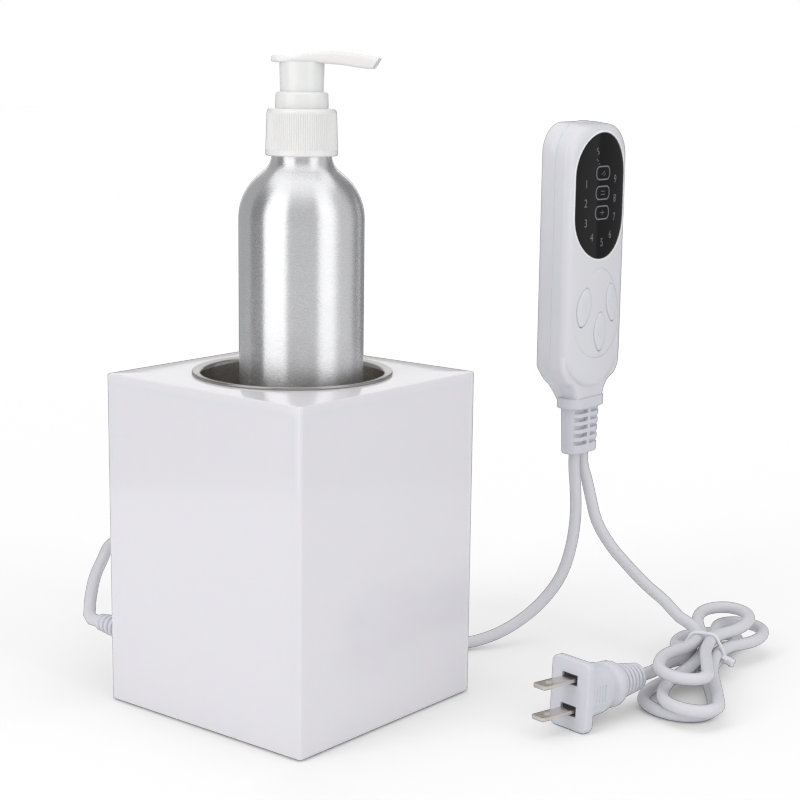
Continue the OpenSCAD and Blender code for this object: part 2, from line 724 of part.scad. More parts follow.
// Shell solid between two depths: one smooth skin through inset outlines
module ctl_place() translate([ctl_x, 0, ctl_z]) rotate([90, 0, 0]) children();
module skin_slice(y, inset) {
    translate([0, 0, -y]) linear_extrude(0.01) polygon(face_points(inset));
}
module front_skin() {
    hull() {
        skin_slice(rim_y, 0);
        skin_slice(shelf, 0.6);
        skin_slice(ctl_front + 1.2, 2);
        skin_slice(ctl_front + 0.2, 4.4);
    }
}
module ctl_slab(y0, y1, inset = 0) {
    ctl_place() translate([0, 0, -y1]) linear_extrude(y1 - y0) polygon(outline_points(inset));
}
module crown(raise, y1) {
    intersection() {
        translate([ctl_x, ctl_front + crown_r, 0])
            cylinder(h = 400, r = crown_r + raise, $fn = 480);
        translate([ctl_x - 40, ctl_front - 5, 0]) cube([80, y1 - ctl_front + 5, 400]);
    }
}
module leaf(at, grow, y0, y1) {
    pts = [
        for (k = [0 : 31])
            let (w = 360 * k / 32, c = cos(w), s = sin(w))
            [(leaf_w / 2 + grow) * c * (1 - 0.25 * s * s), (leaf_h / 2 + grow) * s]
    ];
    ctl_place()
        translate([at[0], at[1], -y1]) rotate([0, 0, at[2]]) linear_extrude(y1 - y0) polygon(pts);
}
module window_shape(grow, y0, y1) {
    w = window_w + 2 * grow;
    ctl_place()
        translate([0, window_z - ctl_z, -y1])
            rotate([0, 0, 90]) stadium(window_h + 2 * grow, w, y1 - y0);
}
module pad_shape(grow, y0, y1) {
    pts = [
        for (k = [0 : 47])
            let (w = 7.5 * k)
            [(17.6 + grow) * cos(w) * (1 - 0.16 * sin(w)), (20.1 + grow) * sin(w)]
    ];
    ctl_place() translate([0, pad_z - ctl_z, -y1]) linear_extrude(y1 - y0) polygon(pts);
}
module boss_places(y) {
    for (k = [-1, 1]) {
        translate([ctl_x + k * screw_low[0], y, ctl_z + screw_low[1]]) rotate([-90, 0, 0]) children();
        translate([ctl_x + k * screw_high[0], y, ctl_z + screw_high[1]])
            rotate([-90, 0, 0]) children();
    }
}
module grip_hole() {
    translate([ctl_x, grip_y, ctl_z - 4]) stadium(17.4, 8.4, 9);
}
module leaves(grow, y0, y1) {
    for (at = [left_leaf, right_leaf, lower_leaf]) leaf(at, grow, y0, y1);
}
module controller_front() color(shell_white) {
    difference() {
        intersection() {
            union() {
                ctl_place() front_skin();
                ctl_slab(rim_y, ctl_seam);
                intersection() {
                    ctl_slab(shelf, rim_y + 0.5, 0.7);
                    translate([ctl_x - 40, ctl_front, 0]) cube([80, 20, ctl_z + 22]);
                }
            }
            crown(0, ctl_seam + 1);
        }
        ctl_slab(face_in, ctl_seam + 1, ctl_t);
        window_shape(0, ctl_front - 5, recess);
        window_shape(-2.4, ctl_front - 5, ctl_seam);
        pad_shape(0, ctl_front - 5, recess);
        leaves(button_gap + 0.1, ctl_front - 5, ctl_seam);
        grip_hole();
    }
    difference() {
        boss_places(face_in - 0.3) cylinder(h = ctl_seam - face_in + 0.3, r = 2.6, $fn = 24);
        boss_places(face_in + 0.8) cylinder(h = 9, r = 0.95, $fn = 24);
    }
}
module controller_back() color(shell_white) {
    difference() {
        union() {
            difference() {
                union() {
                    ctl_slab(ctl_seam, ctl_back - back_step);
                    ctl_slab(ctl_back - back_step, ctl_back, back_step);
                }
                ctl_slab(ctl_seam - 1, ctl_back - ctl_t, ctl_t);
            }
            boss_places(ctl_seam) cylinder(h = ctl_back - ctl_seam - 0.6, r = 2.6, $fn = 24);
            for (k = [-1, 1])
                translate([ctl_x - 6, board_y + board_t, ctl_z + 66 + k * 46])
                    cube([12, ctl_back - ctl_t - board_y - board_t + 0.4, 2.5]);
        }
        boss_places(ctl_seam - 1) cylinder(h = 9, r = 1.3, $fn = 24);
        boss_places(ctl_back - 2.4) cylinder(h = 5, r = 2.3, $fn = 24);
        grip_hole();
    }
}
module display_window() color(black) {
    intersection() {
        window_shape(-fit, ctl_front - 5, recess);
        crown(0, 0);
    }
}
module button_pad() color(shell_white) {
    difference() {
        intersection() {
            pad_shape(-fit, ctl_front - 5, recess);
            crown(0, 0);
        }
        leaves(button_gap, ctl_front - 5, ctl_seam);
    }
}
module button(at) {
    intersection() {
        leaf(at, 0, ctl_front - 5, face_in + 0.3);
        crown(0.35, 0);
    }
    leaf(at, 0.9, face_in + 0.2, face_in + 1.1);
    ctl_place()
        translate([at[0], at[1], -stem_end])
            cylinder(h = stem_end - face_in - 0.9, r = 1.5, $fn = 24);
}
module button_left() color([0.88, 0.88, 0.9]) button(left_leaf);
module button_right() color([0.88, 0.88, 0.9]) button(right_leaf);
module button_lower() color([0.88, 0.88, 0.9]) button(lower_leaf);
module circuit_board() color([0.1, 0.4, 0.2]) {
    difference() {
        translate([ctl_x - board_w / 2, board_y, ctl_z + 18]) cube([board_w, board_t, board_h]);
        boss_places(board_y - 1) cylinder(h = 5, r = 3, $fn = 24);
    }
}
module display_module() color([0.2, 0.2, 0.24])
    translate([ctl_x, board_y, window_z]) rotate([90, 90, 0])
        stadium(window_h - 8, window_w - 8, board_y - recess);
module button_switches() color(black) {
    for (at = [left_leaf, right_leaf, lower_leaf])
        translate([ctl_x + at[0] - 2.6, board_y - switch_h, ctl_z + at[1] - 2.6])
            cube([5.2, switch_h, 5.2]);
}
module board_relay() color([0.85, 0.65, 0.2])
    translate([ctl_x - 9, board_y + board_t, ctl_z + 32]) cube([18, 3.2, 12]);
module controller_screws() color(steel) {
    boss_places(ctl_back - 2.4) {
        difference() {
            cylinder(h = 1.6, r = 2.1, $fn = 24);
            translate([-1.4, -0.3, 0.9]) cube([2.8, 0.6, 1]);
        }
        translate([0, 0, -7.4]) cylinder(h = 7.6, r = 0.98, $fn = 24);
    }
}
module controller_strain_relief() color(cord_white) translate([ctl_x, grip_y, 0]) {
    difference() {
        translate([0, 0, grip_top]) stadium(26.4, 13, 5);
        translate([-ctl_x, -grip_y, 0]) ctl_slab(ctl_front - 1, ctl_back + 1);
    }
    translate([0, 0, grip_top - 1]) stadium(17, 8, 8);
    segments = 6;
    pitch = (grip_top - grip_foot) / segments;
    for (k = [0 : segments - 1])
        translate([0, 0, grip_top - pitch * (k + 1)])
            stadium(20.8 - 0.38 * k, 10.6 - 0.28 * k, k == 0 ? pitch : pitch - 1);
    translate([0, 0, grip_foot]) stadium(16.4, 7.6, grip_top - grip_foot);
}

// Leads
module lead_warmer() color(cord_white) tube(warmer_path, cord_r, [0, 1, 0], [0, 0, 1]);
module lead_mains() color(cord_white) tube(mains_path, cord_r, [0, 0, -1], waist_dir);
module mains_hank() color(cord_white) tube(hank_path, cord_r, waist_dir, waist_dir, 6);
module mains_tail() color(cord_white) tube(tail_path, cord_r, waist_dir, plug_dir());
module cord_tie() color([0.93, 0.93, 0.95]) {
    off = cord_r + 0.7;
    x = strand_step;
    centres = [
        [x, row_z[2], 90, 28], [2 * x, row_z[1], 28, -28], [x, row_z[0], -28, -90],
        [-x, row_z[0], -90, -152], [-2 * x, row_z[1], -152, -208], [-x, row_z[2], -208, -270]
    ];
    loop = [
        for (c = centres)
            for (k = [0 : 3])
                let (w = c[2] + (c[3] - c[2]) * (k + 0.5) / 4)
                on_waist(0, c[0] + off * cos(w), c[1] + off * sin(w))
    ];
    n = len(loop);
    sides = 8;
    axis = -waist_dir;
    points = [
        for (i = [0 : n - 1])
            let (out = unit(cross(axis, loop[(i + 1) % n] - loop[(i + n - 1) % n])))
            for (k = [0 : sides - 1])
                let (w = 360 * k / sides) loop[i] + 0.8 * (cos(w) * out + sin(w) * axis)
    ];
    faces = [
        for (i = [0 : n - 1])
            for (k = [0 : sides - 1])
                let (
                    u = i * sides + k, v = i * sides + (k + 1) % sides,
                    a = ((i + 1) % n) * sides + k, b = ((i + 1) % n) * sides + (k + 1) % sides
                )
                each [[u, a, b], [u, b, v]]
    ];
    polyhedron(points = points, faces = faces, convexity = 4);
    twist = [
        on_waist(0, -8.6, 9), on_waist(0.2, -10.2, 7.6), on_waist(0.8, -12.6, 5),
        on_waist(1.4, -14.4, 2.6)
    ];
    tube(twist, 1.1, unit(twist[1] - twist[0]), unit(twist[3] - twist[2]), 8);
}

// Plug: local x runs along the blades, local z is up
module plug_place() {
    translate(plug_at) rotate([0, 0, plug_turn]) rotate([0, -plug_dip, 0]) children();
}
module plug_slab(x, w, h, r, t) {
    translate([x, 0, 0]) rotate([90, 0, 90]) {
        translate([-w / 2 + r, -h / 2, 0]) cube([w - 2 * r, h, t]);
        translate([-w / 2, -h / 2 + r, 0]) cube([w, h - 2 * r, t]);
        for (y = [-1, 1])
            for (z = [-1, 1])
                translate([y * (w / 2 - r), z * (h / 2 - r), 0]) cylinder(h = t, r = r, $fn = 24);
    }
}
module plug_body() color(cord_white) plug_place() {
    difference() {
        union() {
            hull() {
                plug_slab(-5, plug_w - 1, plug_h - 1.6, 4, 3);
                plug_slab(-19, 12.5, 15, 5, 2);
            }
            plug_slab(-4, plug_w, plug_h, 3, 4);
        }
        plug_slab(-3.4, plug_w - 4, plug_h - 4.5, 2.4, 2.2);
        for (k = [-1, 1]) translate([-1.3, -4.1, 6.35 * k - 2.2]) cube([3, 8.2, 4.4]);
        for (y = [-1, 1])
            for (k = [0 : 4])
                translate([-7.4 - 2 * k, y * (9.9 - 0.52 * k), -4.5]) cube([0.8, 1.6, 9]);
    }
    rotate([0, -90, 0]) {
        cone(4.2, 3.1, 18, plug_l);
        for (k = [0 : 5]) cone(6.2 - 0.46 * k, 6 - 0.46 * k, 19.2 + 3.75 * k, 21.6 + 3.75 * k);
    }
}
module plug_bridge() color([0.25, 0.25, 0.27]) plug_place() {
    difference() {
        plug_slab(-3.4, plug_w - 4, plug_h - 4.5, 2.4, 2.2);
        for (k = [-1, 1]) translate([-4, -3.2, 6.35 * k - 0.8]) cube([4, 6.4, 1.6]);
    }
}
module plug_blades() color([0.72, 0.71, 0.68]) plug_place() {
    difference() {
        for (k = [-1, 1]) translate([-3.4, -3.175, 6.35 * k - 0.75]) cube([blade_l + 3.4, 6.35, 1.5]);
        for (k = [-1, 1])
            translate([12, 0, 6.35 * k - 2]) cylinder(h = 4, r = 1.6, $fn = 24);
    }
}

echo(warmer_lead = path_length(warmer_path), rings = len(warmer_path));
echo(mains_lead = path_length(mains_path), rings = len(mains_path));
echo(hank = path_length(hank_path), rings = len(hank_path), gap = hank_gap);
echo(tail = path_length(tail_path), rings = len(tail_path));

front_panel();
back_panel();
left_panel();
right_panel();
top_panel();
base_plate();
corner_blocks();
base_screws();
rubber_feet();
well_cup();
well_clip_ring();
well_mat();
heater_band();
insulation_sleeve();
thermal_cutoff();
temperature_probe();
terminal_block();
inner_leads();
base_strain_relief();
bottle();
bottle_gasket();
pump_closure();
pump_lock_ring();
pump_cylinder();
stem_guide();
pump_spring();
pump_piston();
pump_stem();
inlet_ball();
dip_tube();
pump_head();
controller_front();
controller_back();
display_window();
button_pad();
button_left();
button_right();
button_lower();
circuit_board();
display_module();
button_switches();
board_relay();
controller_screws();
controller_strain_relief();
lead_warmer();
lead_mains();
mains_hank();
mains_tail();
cord_tie();
plug_body();
plug_bridge();
plug_blades();
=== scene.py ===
"""Dresses the heated oil dispenser: acrylic warmer, pump bottle, hand controller and leads.

Sizes in the classes are millimetres in the row frame; meshes are made in metres.
"""

import json
import logging
import math
from dataclasses import dataclass, field
from enum import Enum

import bmesh
import bpy
from mathutils import Matrix, Vector

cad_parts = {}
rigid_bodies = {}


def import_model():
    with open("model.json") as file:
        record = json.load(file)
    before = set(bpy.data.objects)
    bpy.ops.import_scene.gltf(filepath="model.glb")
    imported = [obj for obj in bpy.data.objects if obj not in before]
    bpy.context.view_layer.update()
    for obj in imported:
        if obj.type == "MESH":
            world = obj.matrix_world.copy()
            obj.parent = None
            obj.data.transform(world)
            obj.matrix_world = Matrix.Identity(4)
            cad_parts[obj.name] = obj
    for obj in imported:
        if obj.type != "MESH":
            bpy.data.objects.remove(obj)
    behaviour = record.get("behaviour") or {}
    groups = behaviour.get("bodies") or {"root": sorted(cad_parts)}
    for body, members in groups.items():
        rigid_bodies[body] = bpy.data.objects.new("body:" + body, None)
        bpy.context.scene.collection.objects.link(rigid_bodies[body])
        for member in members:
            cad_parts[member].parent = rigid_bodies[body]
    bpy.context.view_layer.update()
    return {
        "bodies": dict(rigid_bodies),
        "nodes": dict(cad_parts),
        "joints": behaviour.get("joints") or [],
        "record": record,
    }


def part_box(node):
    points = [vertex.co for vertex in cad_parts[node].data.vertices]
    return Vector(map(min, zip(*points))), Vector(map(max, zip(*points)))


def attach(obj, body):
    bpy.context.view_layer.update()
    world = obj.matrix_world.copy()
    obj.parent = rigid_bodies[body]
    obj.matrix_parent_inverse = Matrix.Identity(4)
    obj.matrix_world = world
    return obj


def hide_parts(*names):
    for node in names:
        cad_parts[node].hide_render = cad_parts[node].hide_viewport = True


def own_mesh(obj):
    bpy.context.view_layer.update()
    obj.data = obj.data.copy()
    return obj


log = logging.getLogger("dispenser")
MM = 0.001
Point = tuple[float, float, float]
Flat = tuple[float, float]
Colour = tuple[float, float, float]


# ---------------------------------------------------------------- geometry


def arc(cx: float, cy: float, r: float, a: float, b: float, n: int) -> list[Flat]:
    """Points of a circular arc.

    Args:
        cx: Centre, first coordinate.
        cy: Centre, second coordinate.
        r: Radius.
        a: Start angle in degrees.
        b: End angle in degrees.
        n: Number of steps.

    Returns:
        n + 1 points from a to b.
    """
    turn = [math.radians(a + (b - a) * k / n) for k in range(n + 1)]
    return [(cx + r * math.cos(w), cy + r * math.sin(w)) for w in turn]


def rounded(w: float, h: float, r: float, n: int = 6) -> list[Flat]:
    """A rounded rectangle, centred.

    Args:
        w: Width.
        h: Height.
        r: Corner radius.
        n: Steps in each corner.

    Returns:
        The closed outline.
    """
    x, y = w / 2 - r, h / 2 - r
    return (arc(x, y, r, 0, 90, n) + arc(-x, y, r, 90, 180, n)
            + arc(-x, -y, r, 180, 270, n) + arc(x, -y, r, 270, 360, n))


def unit(v: Vector) -> Vector:
    """The vector v at length one."""
    return v.normalized()


def make(name: str, verts: list, faces: list, crease: float = 35.0) -> bpy.types.Object:
    """Makes a smooth-shaded object from points in millimetres.

    Args:
        name: The object's name.
        verts: Points in millimetres.
        faces: Lists of point numbers.
        crease: Angle in degrees above which an edge stays sharp.

    Returns:
        The linked object.
    """
    mesh = bpy.data.meshes.new(name)
    mesh.from_pydata([Vector(v) * MM for v in verts], [], faces)
    tidy = bmesh.new()
    tidy.from_mesh(mesh)
    bmesh.ops.remove_doubles(tidy, verts=tidy.verts, dist=1e-7)
    bmesh.ops.recalc_face_normals(tidy, faces=tidy.faces)
    tidy.to_mesh(mesh)
    tidy.free()
    mesh.polygons.foreach_set("use_smooth", [True] * len(mesh.polygons))
    mesh.set_sharp_from_angle(angle=math.radians(crease))
    mesh.update()
    obj = bpy.data.objects.new(name, mesh)
    bpy.context.scene.collection.objects.link(obj)
    return obj


def lathe(name: str, outline: list[Flat], at: Point = (0, 0, 0), steps: int = 96,
          crease: float = 35.0) -> bpy.types.Object:
    """Turns a closed outline of (radius, height) points about Z.

    Args:
        name: The object's name.
        outline: Closed loop of (radius, height); points at radius 0 become poles.
        at: Where the axis stands.
        steps: Segments round the axis.
        crease: Angle in degrees above which an edge stays sharp.

    Returns:
        The object.
    """
    verts, faces, start = [], [], []
    for r, z in outline:
        start.append(len(verts))
        ring = 1 if r < 1e-6 else steps
        for k in range(ring):
            w = 2 * math.pi * k / steps
            verts.append((at[0] + r * math.cos(w), at[1] + r * math.sin(w), at[2] + z))
    count = len(outline)
    for i in range(count):
        j = (i + 1) % count
        a_pole, b_pole = outline[i][0] < 1e-6, outline[j][0] < 1e-6
        if a_pole and b_pole:
            continue
        for k in range(steps):
            m = (k + 1) % steps
            a0, a1 = start[i] + (0 if a_pole else k), start[i] + (0 if a_pole else m)
            b0, b1 = start[j] + (0 if b_pole else k), start[j] + (0 if b_pole else m)
            if a_pole:
                faces.append([a0, b1, b0])
            elif b_pole:
                faces.append([a0, a1, b0])
            else:
                faces.append([a0, a1, b1, b0])
    return make(name, verts, faces, crease)


def loft(name: str, rings: list[list[Point]], crease: float = 35.0,
         loop: bool = False) -> bpy.types.Object:
    """Skins closed rings of equal count, capped at both ends.

    Args:
        name: The object's name.
        rings: Rings of points, in order.
        crease: Angle in degrees above which an edge stays sharp.
        loop: True to join the last ring to the first, in place of caps.

    Returns:
        The object.
    """
    n, count = len(rings[0]), len(rings)
    verts = [p for ring in rings for p in ring]
    faces = []
    for i in range(count if loop else count - 1):
        j = (i + 1) % count
        for k in range(n):
            m = (k + 1) % n
            faces.append([i * n + k, i * n + m, j * n + m, j * n + k])
    if not loop:
        faces.append(list(range(n))[::-1])
        faces.append([(count - 1) * n + k for k in range(n)])
    return make(name, verts, faces, crease)


def sweep_rings(path: list[Vector], radius: float, sides: int,
                closed: bool = False) -> list[list[Vector]]:
    """Rings of a round tube along a path, carried without twist.

    Args:
        path: Centre points in millimetres.
        radius: Tube radius.
        sides: Points in each ring.
        closed: True if the path returns to its start.

    Returns:
        One ring per path point.
    """
    n = len(path)
    heads = []
    for i in range(n):
        before = path[(i - 1) % n] if closed or i else path[0]
        after = path[(i + 1) % n] if closed or i < n - 1 else path[n - 1]
        heads.append(unit(after - before))
    side = unit(heads[0].cross(Vector((0, 0, 1)) if abs(heads[0].z) < 0.9 else Vector((1, 0, 0))))
    rings = []
    for p, h in zip(path, heads):
        side = unit(side - h * side.dot(h))
        up = h.cross(side)
        rings.append([
            p + (side * math.cos(w) + up * math.sin(w)) * radius
            for w in (2 * math.pi * k / sides for k in range(sides))
        ])
    return rings


def sweep(name: str, path: list[Vector], radius: float, sides: int = 18,
          closed: bool = False) -> bpy.types.Object:
    """A round tube along a path in millimetres.

    Args:
        name: The object's name.
        path: Centre points.
        radius: Tube radius.
        sides: Points round the tube.
        closed: True for a ring.

    Returns:
        The object.
    """
    return loft(name, sweep_rings(path, radius, sides, closed), 50.0, closed)


def prism(name: str, outline: list[Flat], low: float, high: float,
          place: Matrix | None = None, crease: float = 35.0) -> bpy.types.Object:
    """Extrudes an outline along local Z.

    Args:
        name: The object's name.
        outline: Closed loop of points.
        low: Lower end.
        high: Upper end.
        place: Local frame in millimetres; the row frame if left out.
        crease: Angle in degrees above which an edge stays sharp.

    Returns:
        The object.
    """
    place = place or Matrix.Identity(4)
    rings = [[place @ Vector((x, y, z)) for x, y in outline] for z in (low, high)]
    return loft(name, rings, crease)


def merge(name: str, parts: list[bpy.types.Object]) -> bpy.types.Object:
    """Joins several objects into one.

    Args:
        name: The joined object's name.
        parts: The objects; all but the first go.

    Returns:
        The first object, now holding every mesh.
    """
    shape = bmesh.new()
    for part in parts:
        shape.from_mesh(part.data)
    shape.to_mesh(parts[0].data)
    shape.free()
    for part in parts[1:]:
        bpy.data.objects.remove(part)
    parts[0].name = parts[0].data.name = name
    return parts[0]


def soften(obj: bpy.types.Object, width: float, segments: int = 3,
           angle: float = 40.0) -> bpy.types.Object:
    """Rounds an object's sharp edges.

    Args:
        obj: The object.
        width: Width of the rounding in millimetres.
        segments: Segments across the rounding.
        angle: Only edges sharper than this many degrees are rounded.

    Returns:
        The same object.
    """
    bevel = obj.modifiers.new("edge", "BEVEL")
    bevel.width = width * MM
    bevel.segments = segments
    bevel.limit_method = "ANGLE"
    bevel.angle_limit = math.radians(angle)
    bevel.harden_normals = False
    even = obj.modifiers.new("even", "WEIGHTED_NORMAL")
    even.keep_sharp = True
    return obj


def carve(obj: bpy.types.Object, cutters: list[bpy.types.Object],
          added: list[bpy.types.Object] | None = None,
          crease: float = 32.0) -> bpy.types.Object:
    """Joins solids to an object, cuts others out of it and removes them all.

    Args:
        obj: The object to change.
        cutters: Closed solids to cut out.
        added: Closed solids to join to it first.
        crease: Angle in degrees above which an edge stays sharp.

    Returns:
        The same object with its new mesh.
    """
    added = added or []
    for tool in [*added, *cutters]:
        step = obj.modifiers.new("step", "BOOLEAN")
        step.operation = "UNION" if tool in added else "DIFFERENCE"
        step.solver = "EXACT"
        step.object = tool
    bpy.context.view_layer.update()
    ready = obj.evaluated_get(bpy.context.evaluated_depsgraph_get())
    mesh = bpy.data.meshes.new_from_object(ready)
    obj.modifiers.clear()
    obj.data = mesh
    for tool in [*added, *cutters]:
        bpy.data.objects.remove(tool)
    mesh.polygons.foreach_set("use_smooth", [True] * len(mesh.polygons))
    mesh.set_sharp_from_angle(angle=math.radians(crease))
    return obj


# ---------------------------------------------------------------- finishes


@dataclass(frozen=True)
class Finish:
    """A surface: its colour, gloss and the fine detail that breaks it up."""

    name: str
    colour: Colour
    shade: Colour
    roughness: float
    metallic: float = 0.0
    coat: float = 0.0
    grain: float = 40.0
    stretch: Point = (1.0, 1.0, 1.0)
    mottle: float = 0.5
    wander: float = 0.05
    bump: float = 0.1
    depth: float = 0.00005
    anisotropic: float = 0.0
    turned: float = 0.25
    subsurface: float = 0.0
    scatter: float = 0.004
    specular: float = 0.5
    coat_roughness: float = 0.06
    fine_by: float = 25.0
    smoothest: float = 0.02

    def numbers(self) -> dict[str, float]:
        """The shader's plain numbers.

        Returns:
            The value of each socket, by its name.
        """
        values = {"Metallic": self.metallic, "Coat Weight": self.coat,
                  "Specular IOR Level": self.specular, "Coat Roughness": self.coat_roughness,
                  "Anisotropic": self.anisotropic, "Anisotropic Rotation": self.turned}
        if self.subsurface:
            values["Subsurface Weight"] = self.subsurface
            values["Subsurface Scale"] = self.scatter
        return values

    def material(self) -> bpy.types.Material:
        """Builds the node material at the first call.

        Returns:
            The material, which later calls share.
        """
        known = bpy.data.materials.get("look_" + self.name)
        if known:
            return known
        mat = bpy.data.materials.new("look_" + self.name)
        mat.use_nodes = True
        tree = mat.node_tree
        tree.nodes.clear()
        add, link = tree.nodes.new, tree.links.new
        out, skin = add("ShaderNodeOutputMaterial"), add("ShaderNodeBsdfPrincipled")
        link(skin.outputs[0], out.inputs[0])
        for socket, value in self.numbers().items():
            skin.inputs[socket].default_value = value
        where, scale = add("ShaderNodeTexCoord"), add("ShaderNodeMapping")
        scale.inputs["Scale"].default_value = self.stretch
        link(where.outputs["Object"], scale.inputs["Vector"])
        fine, broad = add("ShaderNodeTexNoise"), add("ShaderNodeTexNoise")
        for noise, size, detail in ((fine, self.grain * self.fine_by, 4.0),
                                    (broad, self.grain, 2.0)):
            noise.inputs["Scale"].default_value = size
            noise.inputs["Detail"].default_value = detail
            link(scale.outputs[0], noise.inputs["Vector"])
        tone, amount = add("ShaderNodeMix"), add("ShaderNodeMath")
        tone.data_type = "RGBA"
        tone.inputs["A"].default_value = (*self.colour, 1)
        tone.inputs["B"].default_value = (*self.shade, 1)
        amount.operation = "MULTIPLY"
        amount.inputs[1].default_value = self.mottle
        link(broad.outputs[0], amount.inputs[0])
        link(amount.outputs[0], tone.inputs["Factor"])
        link(tone.outputs["Result"], skin.inputs["Base Color"])
        gloss = add("ShaderNodeMapRange")
        gloss.inputs["To Min"].default_value = max(self.smoothest, self.roughness - self.wander)
        gloss.inputs["To Max"].default_value = self.roughness + self.wander
        link(fine.outputs[0], gloss.inputs["Value"])
        link(gloss.outputs[0], skin.inputs["Roughness"])
        relief = add("ShaderNodeBump")
        relief.inputs["Strength"].default_value = self.bump
        relief.inputs["Distance"].default_value = self.depth
        link(fine.outputs[0], relief.inputs["Height"])
        link(relief.outputs[0], skin.inputs["Normal"])
        if self.anisotropic:
            round_z = add("ShaderNodeTangent")
            round_z.direction_type = "RADIAL"
            round_z.axis = "Z"
            link(round_z.outputs[0], skin.inputs["Tangent"])
        return mat

    def dress(self, obj: bpy.types.Object) -> None:
        """Puts this finish on every slot of an object.

        Args:
            obj: The object, new or from the CAD.
        """
        if not obj.material_slots:
            obj.data.materials.append(self.material())
        for slot in obj.material_slots:
            slot.material = self.material()


def plain_material(name: str, shader: str, colour: Colour) -> bpy.types.Material:
    """A material of one shader, for what isn't part of the object.

    Args:
        name: The material's name.
        shader: The shader node's type.
        colour: Its colour.

    Returns:
        The material.
    """
    mat = bpy.data.materials.new(name)
    mat.use_nodes = True
    tree = mat.node_tree
    tree.nodes.clear()
    out = tree.nodes.new("ShaderNodeOutputMaterial")
    skin = tree.nodes.new(shader)
    skin.inputs["Color"].default_value = (*colour, 1)
    tree.links.new(skin.outputs[0], out.inputs[0])
    return mat


def settle(piece: bpy.types.Object, finish: Finish, body: str, slot: str, *nodes: str) -> None:
    """Finishes a new piece, hides the CAD nodes it stands for and hangs it on its body.

    Args:
        piece: The piece.
        finish: Its finish.
        body: The body it rides on.
        slot: The record's material slot it belongs to; not used.
        *nodes: The CAD nodes it stands for; none for an extra piece.
    """
    finish.dress(piece)
    if nodes:
        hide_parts(*nodes)
    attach(piece, body)
    log.info("%s on %s", piece.name, body)


ACRYLIC = Finish("acrylic_white", (0.80, 0.785, 0.815), (0.77, 0.755, 0.785), 0.16, coat=0.5,
                 grain=6, mottle=0.6, wander=0.02, bump=0.02, subsurface=0.1)
INNER_PLASTIC = Finish("inner_plastic", (0.78, 0.78, 0.76), (0.7, 0.7, 0.68), 0.55, bump=0.2)
PLATED_STEEL = Finish("plated_steel", (0.72, 0.72, 0.74), (0.6, 0.6, 0.62), 0.3, metallic=1,
                      bump=0.1)
BLACK_RUBBER = Finish("black_rubber", (0.02, 0.02, 0.02), (0.04, 0.04, 0.04), 0.75, bump=0.4)
# The well's one steel in two finishes. The lip's copy is darkened: painted shade for its dark
# reflections at the sides. The wall's copy is lightened: painted light for its shaded inside, and
# its streaks from the stretched grain are real.
RIM_STEEL_PAINTED_SHADE = Finish("rim_steel", (0.5, 0.485, 0.465), (0.34, 0.33, 0.315), 0.2, metallic=1,
                   grain=30, wander=0.06, bump=0.2)
WELL_STEEL_PAINTED_LIGHT = Finish("well_steel", (0.92, 0.88, 0.84), (0.7, 0.67, 0.63), 0.26, metallic=1,
                    grain=14, stretch=(1, 1, 30), mottle=0.8, wander=0.06, bump=0.12,
                    anisotropic=0.6)
BRUSHED_ALUMINIUM = Finish("brushed_aluminium", (0.96, 0.96, 0.97), (0.88, 0.88, 0.89), 0.28,
                           metallic=1, grain=60, stretch=(0.3, 0.3, 4), mottle=0.7, wander=0.05,
                           bump=1.0, anisotropic=0.9)
PUMP_WHITE = Finish("pump_white", (0.87, 0.855, 0.84), (0.84, 0.825, 0.81), 0.24, coat=0.7,
                    grain=20, wander=0.03, bump=0.04, subsurface=0.15)
NATURAL_PLASTIC = Finish("natural_plastic", (0.8, 0.81, 0.8), (0.72, 0.73, 0.72), 0.4, bump=0.1)
SHELL_WHITE = Finish("shell_white", (0.76, 0.755, 0.785), (0.73, 0.725, 0.755), 0.33, coat=0.15,
                     grain=12, wander=0.03, bump=0.05, subsurface=0.08)
WINDOW_BLACK = Finish("window_black", (0.004, 0.004, 0.005), (0.007, 0.007, 0.008), 0.1,
                      grain=8, wander=0.03, bump=0.01, specular=0.3)
# Painted highlight: a white brighter than the shell's, for the light caught on the window's
# rounded edge.
PAINTED_HIGHLIGHT_RIM = Finish("bezel_white", (0.94, 0.94, 0.95), (0.91, 0.91, 0.92), 0.3, bump=0.05)
PRINT_GREY = Finish("print_grey", (0.24, 0.24, 0.245), (0.18, 0.18, 0.185), 0.4, bump=0.05)
CORD_WHITE = Finish("cord_white", (0.7, 0.7, 0.73), (0.64, 0.64, 0.67), 0.42, grain=30,
                    wander=0.06, bump=0.12, subsurface=0.1)
RELIEF_WHITE = Finish("relief_white", (0.69, 0.695, 0.745), (0.65, 0.655, 0.705), 0.45, grain=30,
                      wander=0.05, bump=0.1, subsurface=0.1)
TIE_WHITE = Finish("tie_white", (0.8, 0.8, 0.84), (0.72, 0.72, 0.76), 0.4, bump=0.1)
DARK_PLASTIC = Finish("dark_plastic", (0.05, 0.05, 0.055), (0.08, 0.08, 0.085), 0.5, bump=0.2)
GREY_INSERT = Finish("grey_insert", (0.035, 0.035, 0.04), (0.025, 0.025, 0.03), 0.5, bump=0.2)
BOARD_GREEN = Finish("board_green", (0.03, 0.16, 0.06), (0.02, 0.1, 0.04), 0.35, bump=0.2)
RELAY_AMBER = Finish("relay_amber", (0.55, 0.33, 0.06), (0.45, 0.26, 0.05), 0.45, bump=0.1)
HEATER_MICA = Finish("heater_mica", (0.5, 0.36, 0.16), (0.35, 0.25, 0.1), 0.4, metallic=0.6)
FELT = Finish("felt", (0.62, 0.61, 0.56), (0.5, 0.49, 0.45), 0.95, grain=60, bump=0.8)
WIRE_RED = Finish("wire_red", (0.45, 0.03, 0.02), (0.35, 0.02, 0.015), 0.4)
BLADE_NICKEL = Finish("blade_nickel", (0.78, 0.74, 0.69), (0.6, 0.56, 0.51), 0.28, metallic=1,
                      grain=20, stretch=(1, 30, 30), mottle=0.8, wander=0.08, bump=0.1)


# ---------------------------------------------------------------- studio


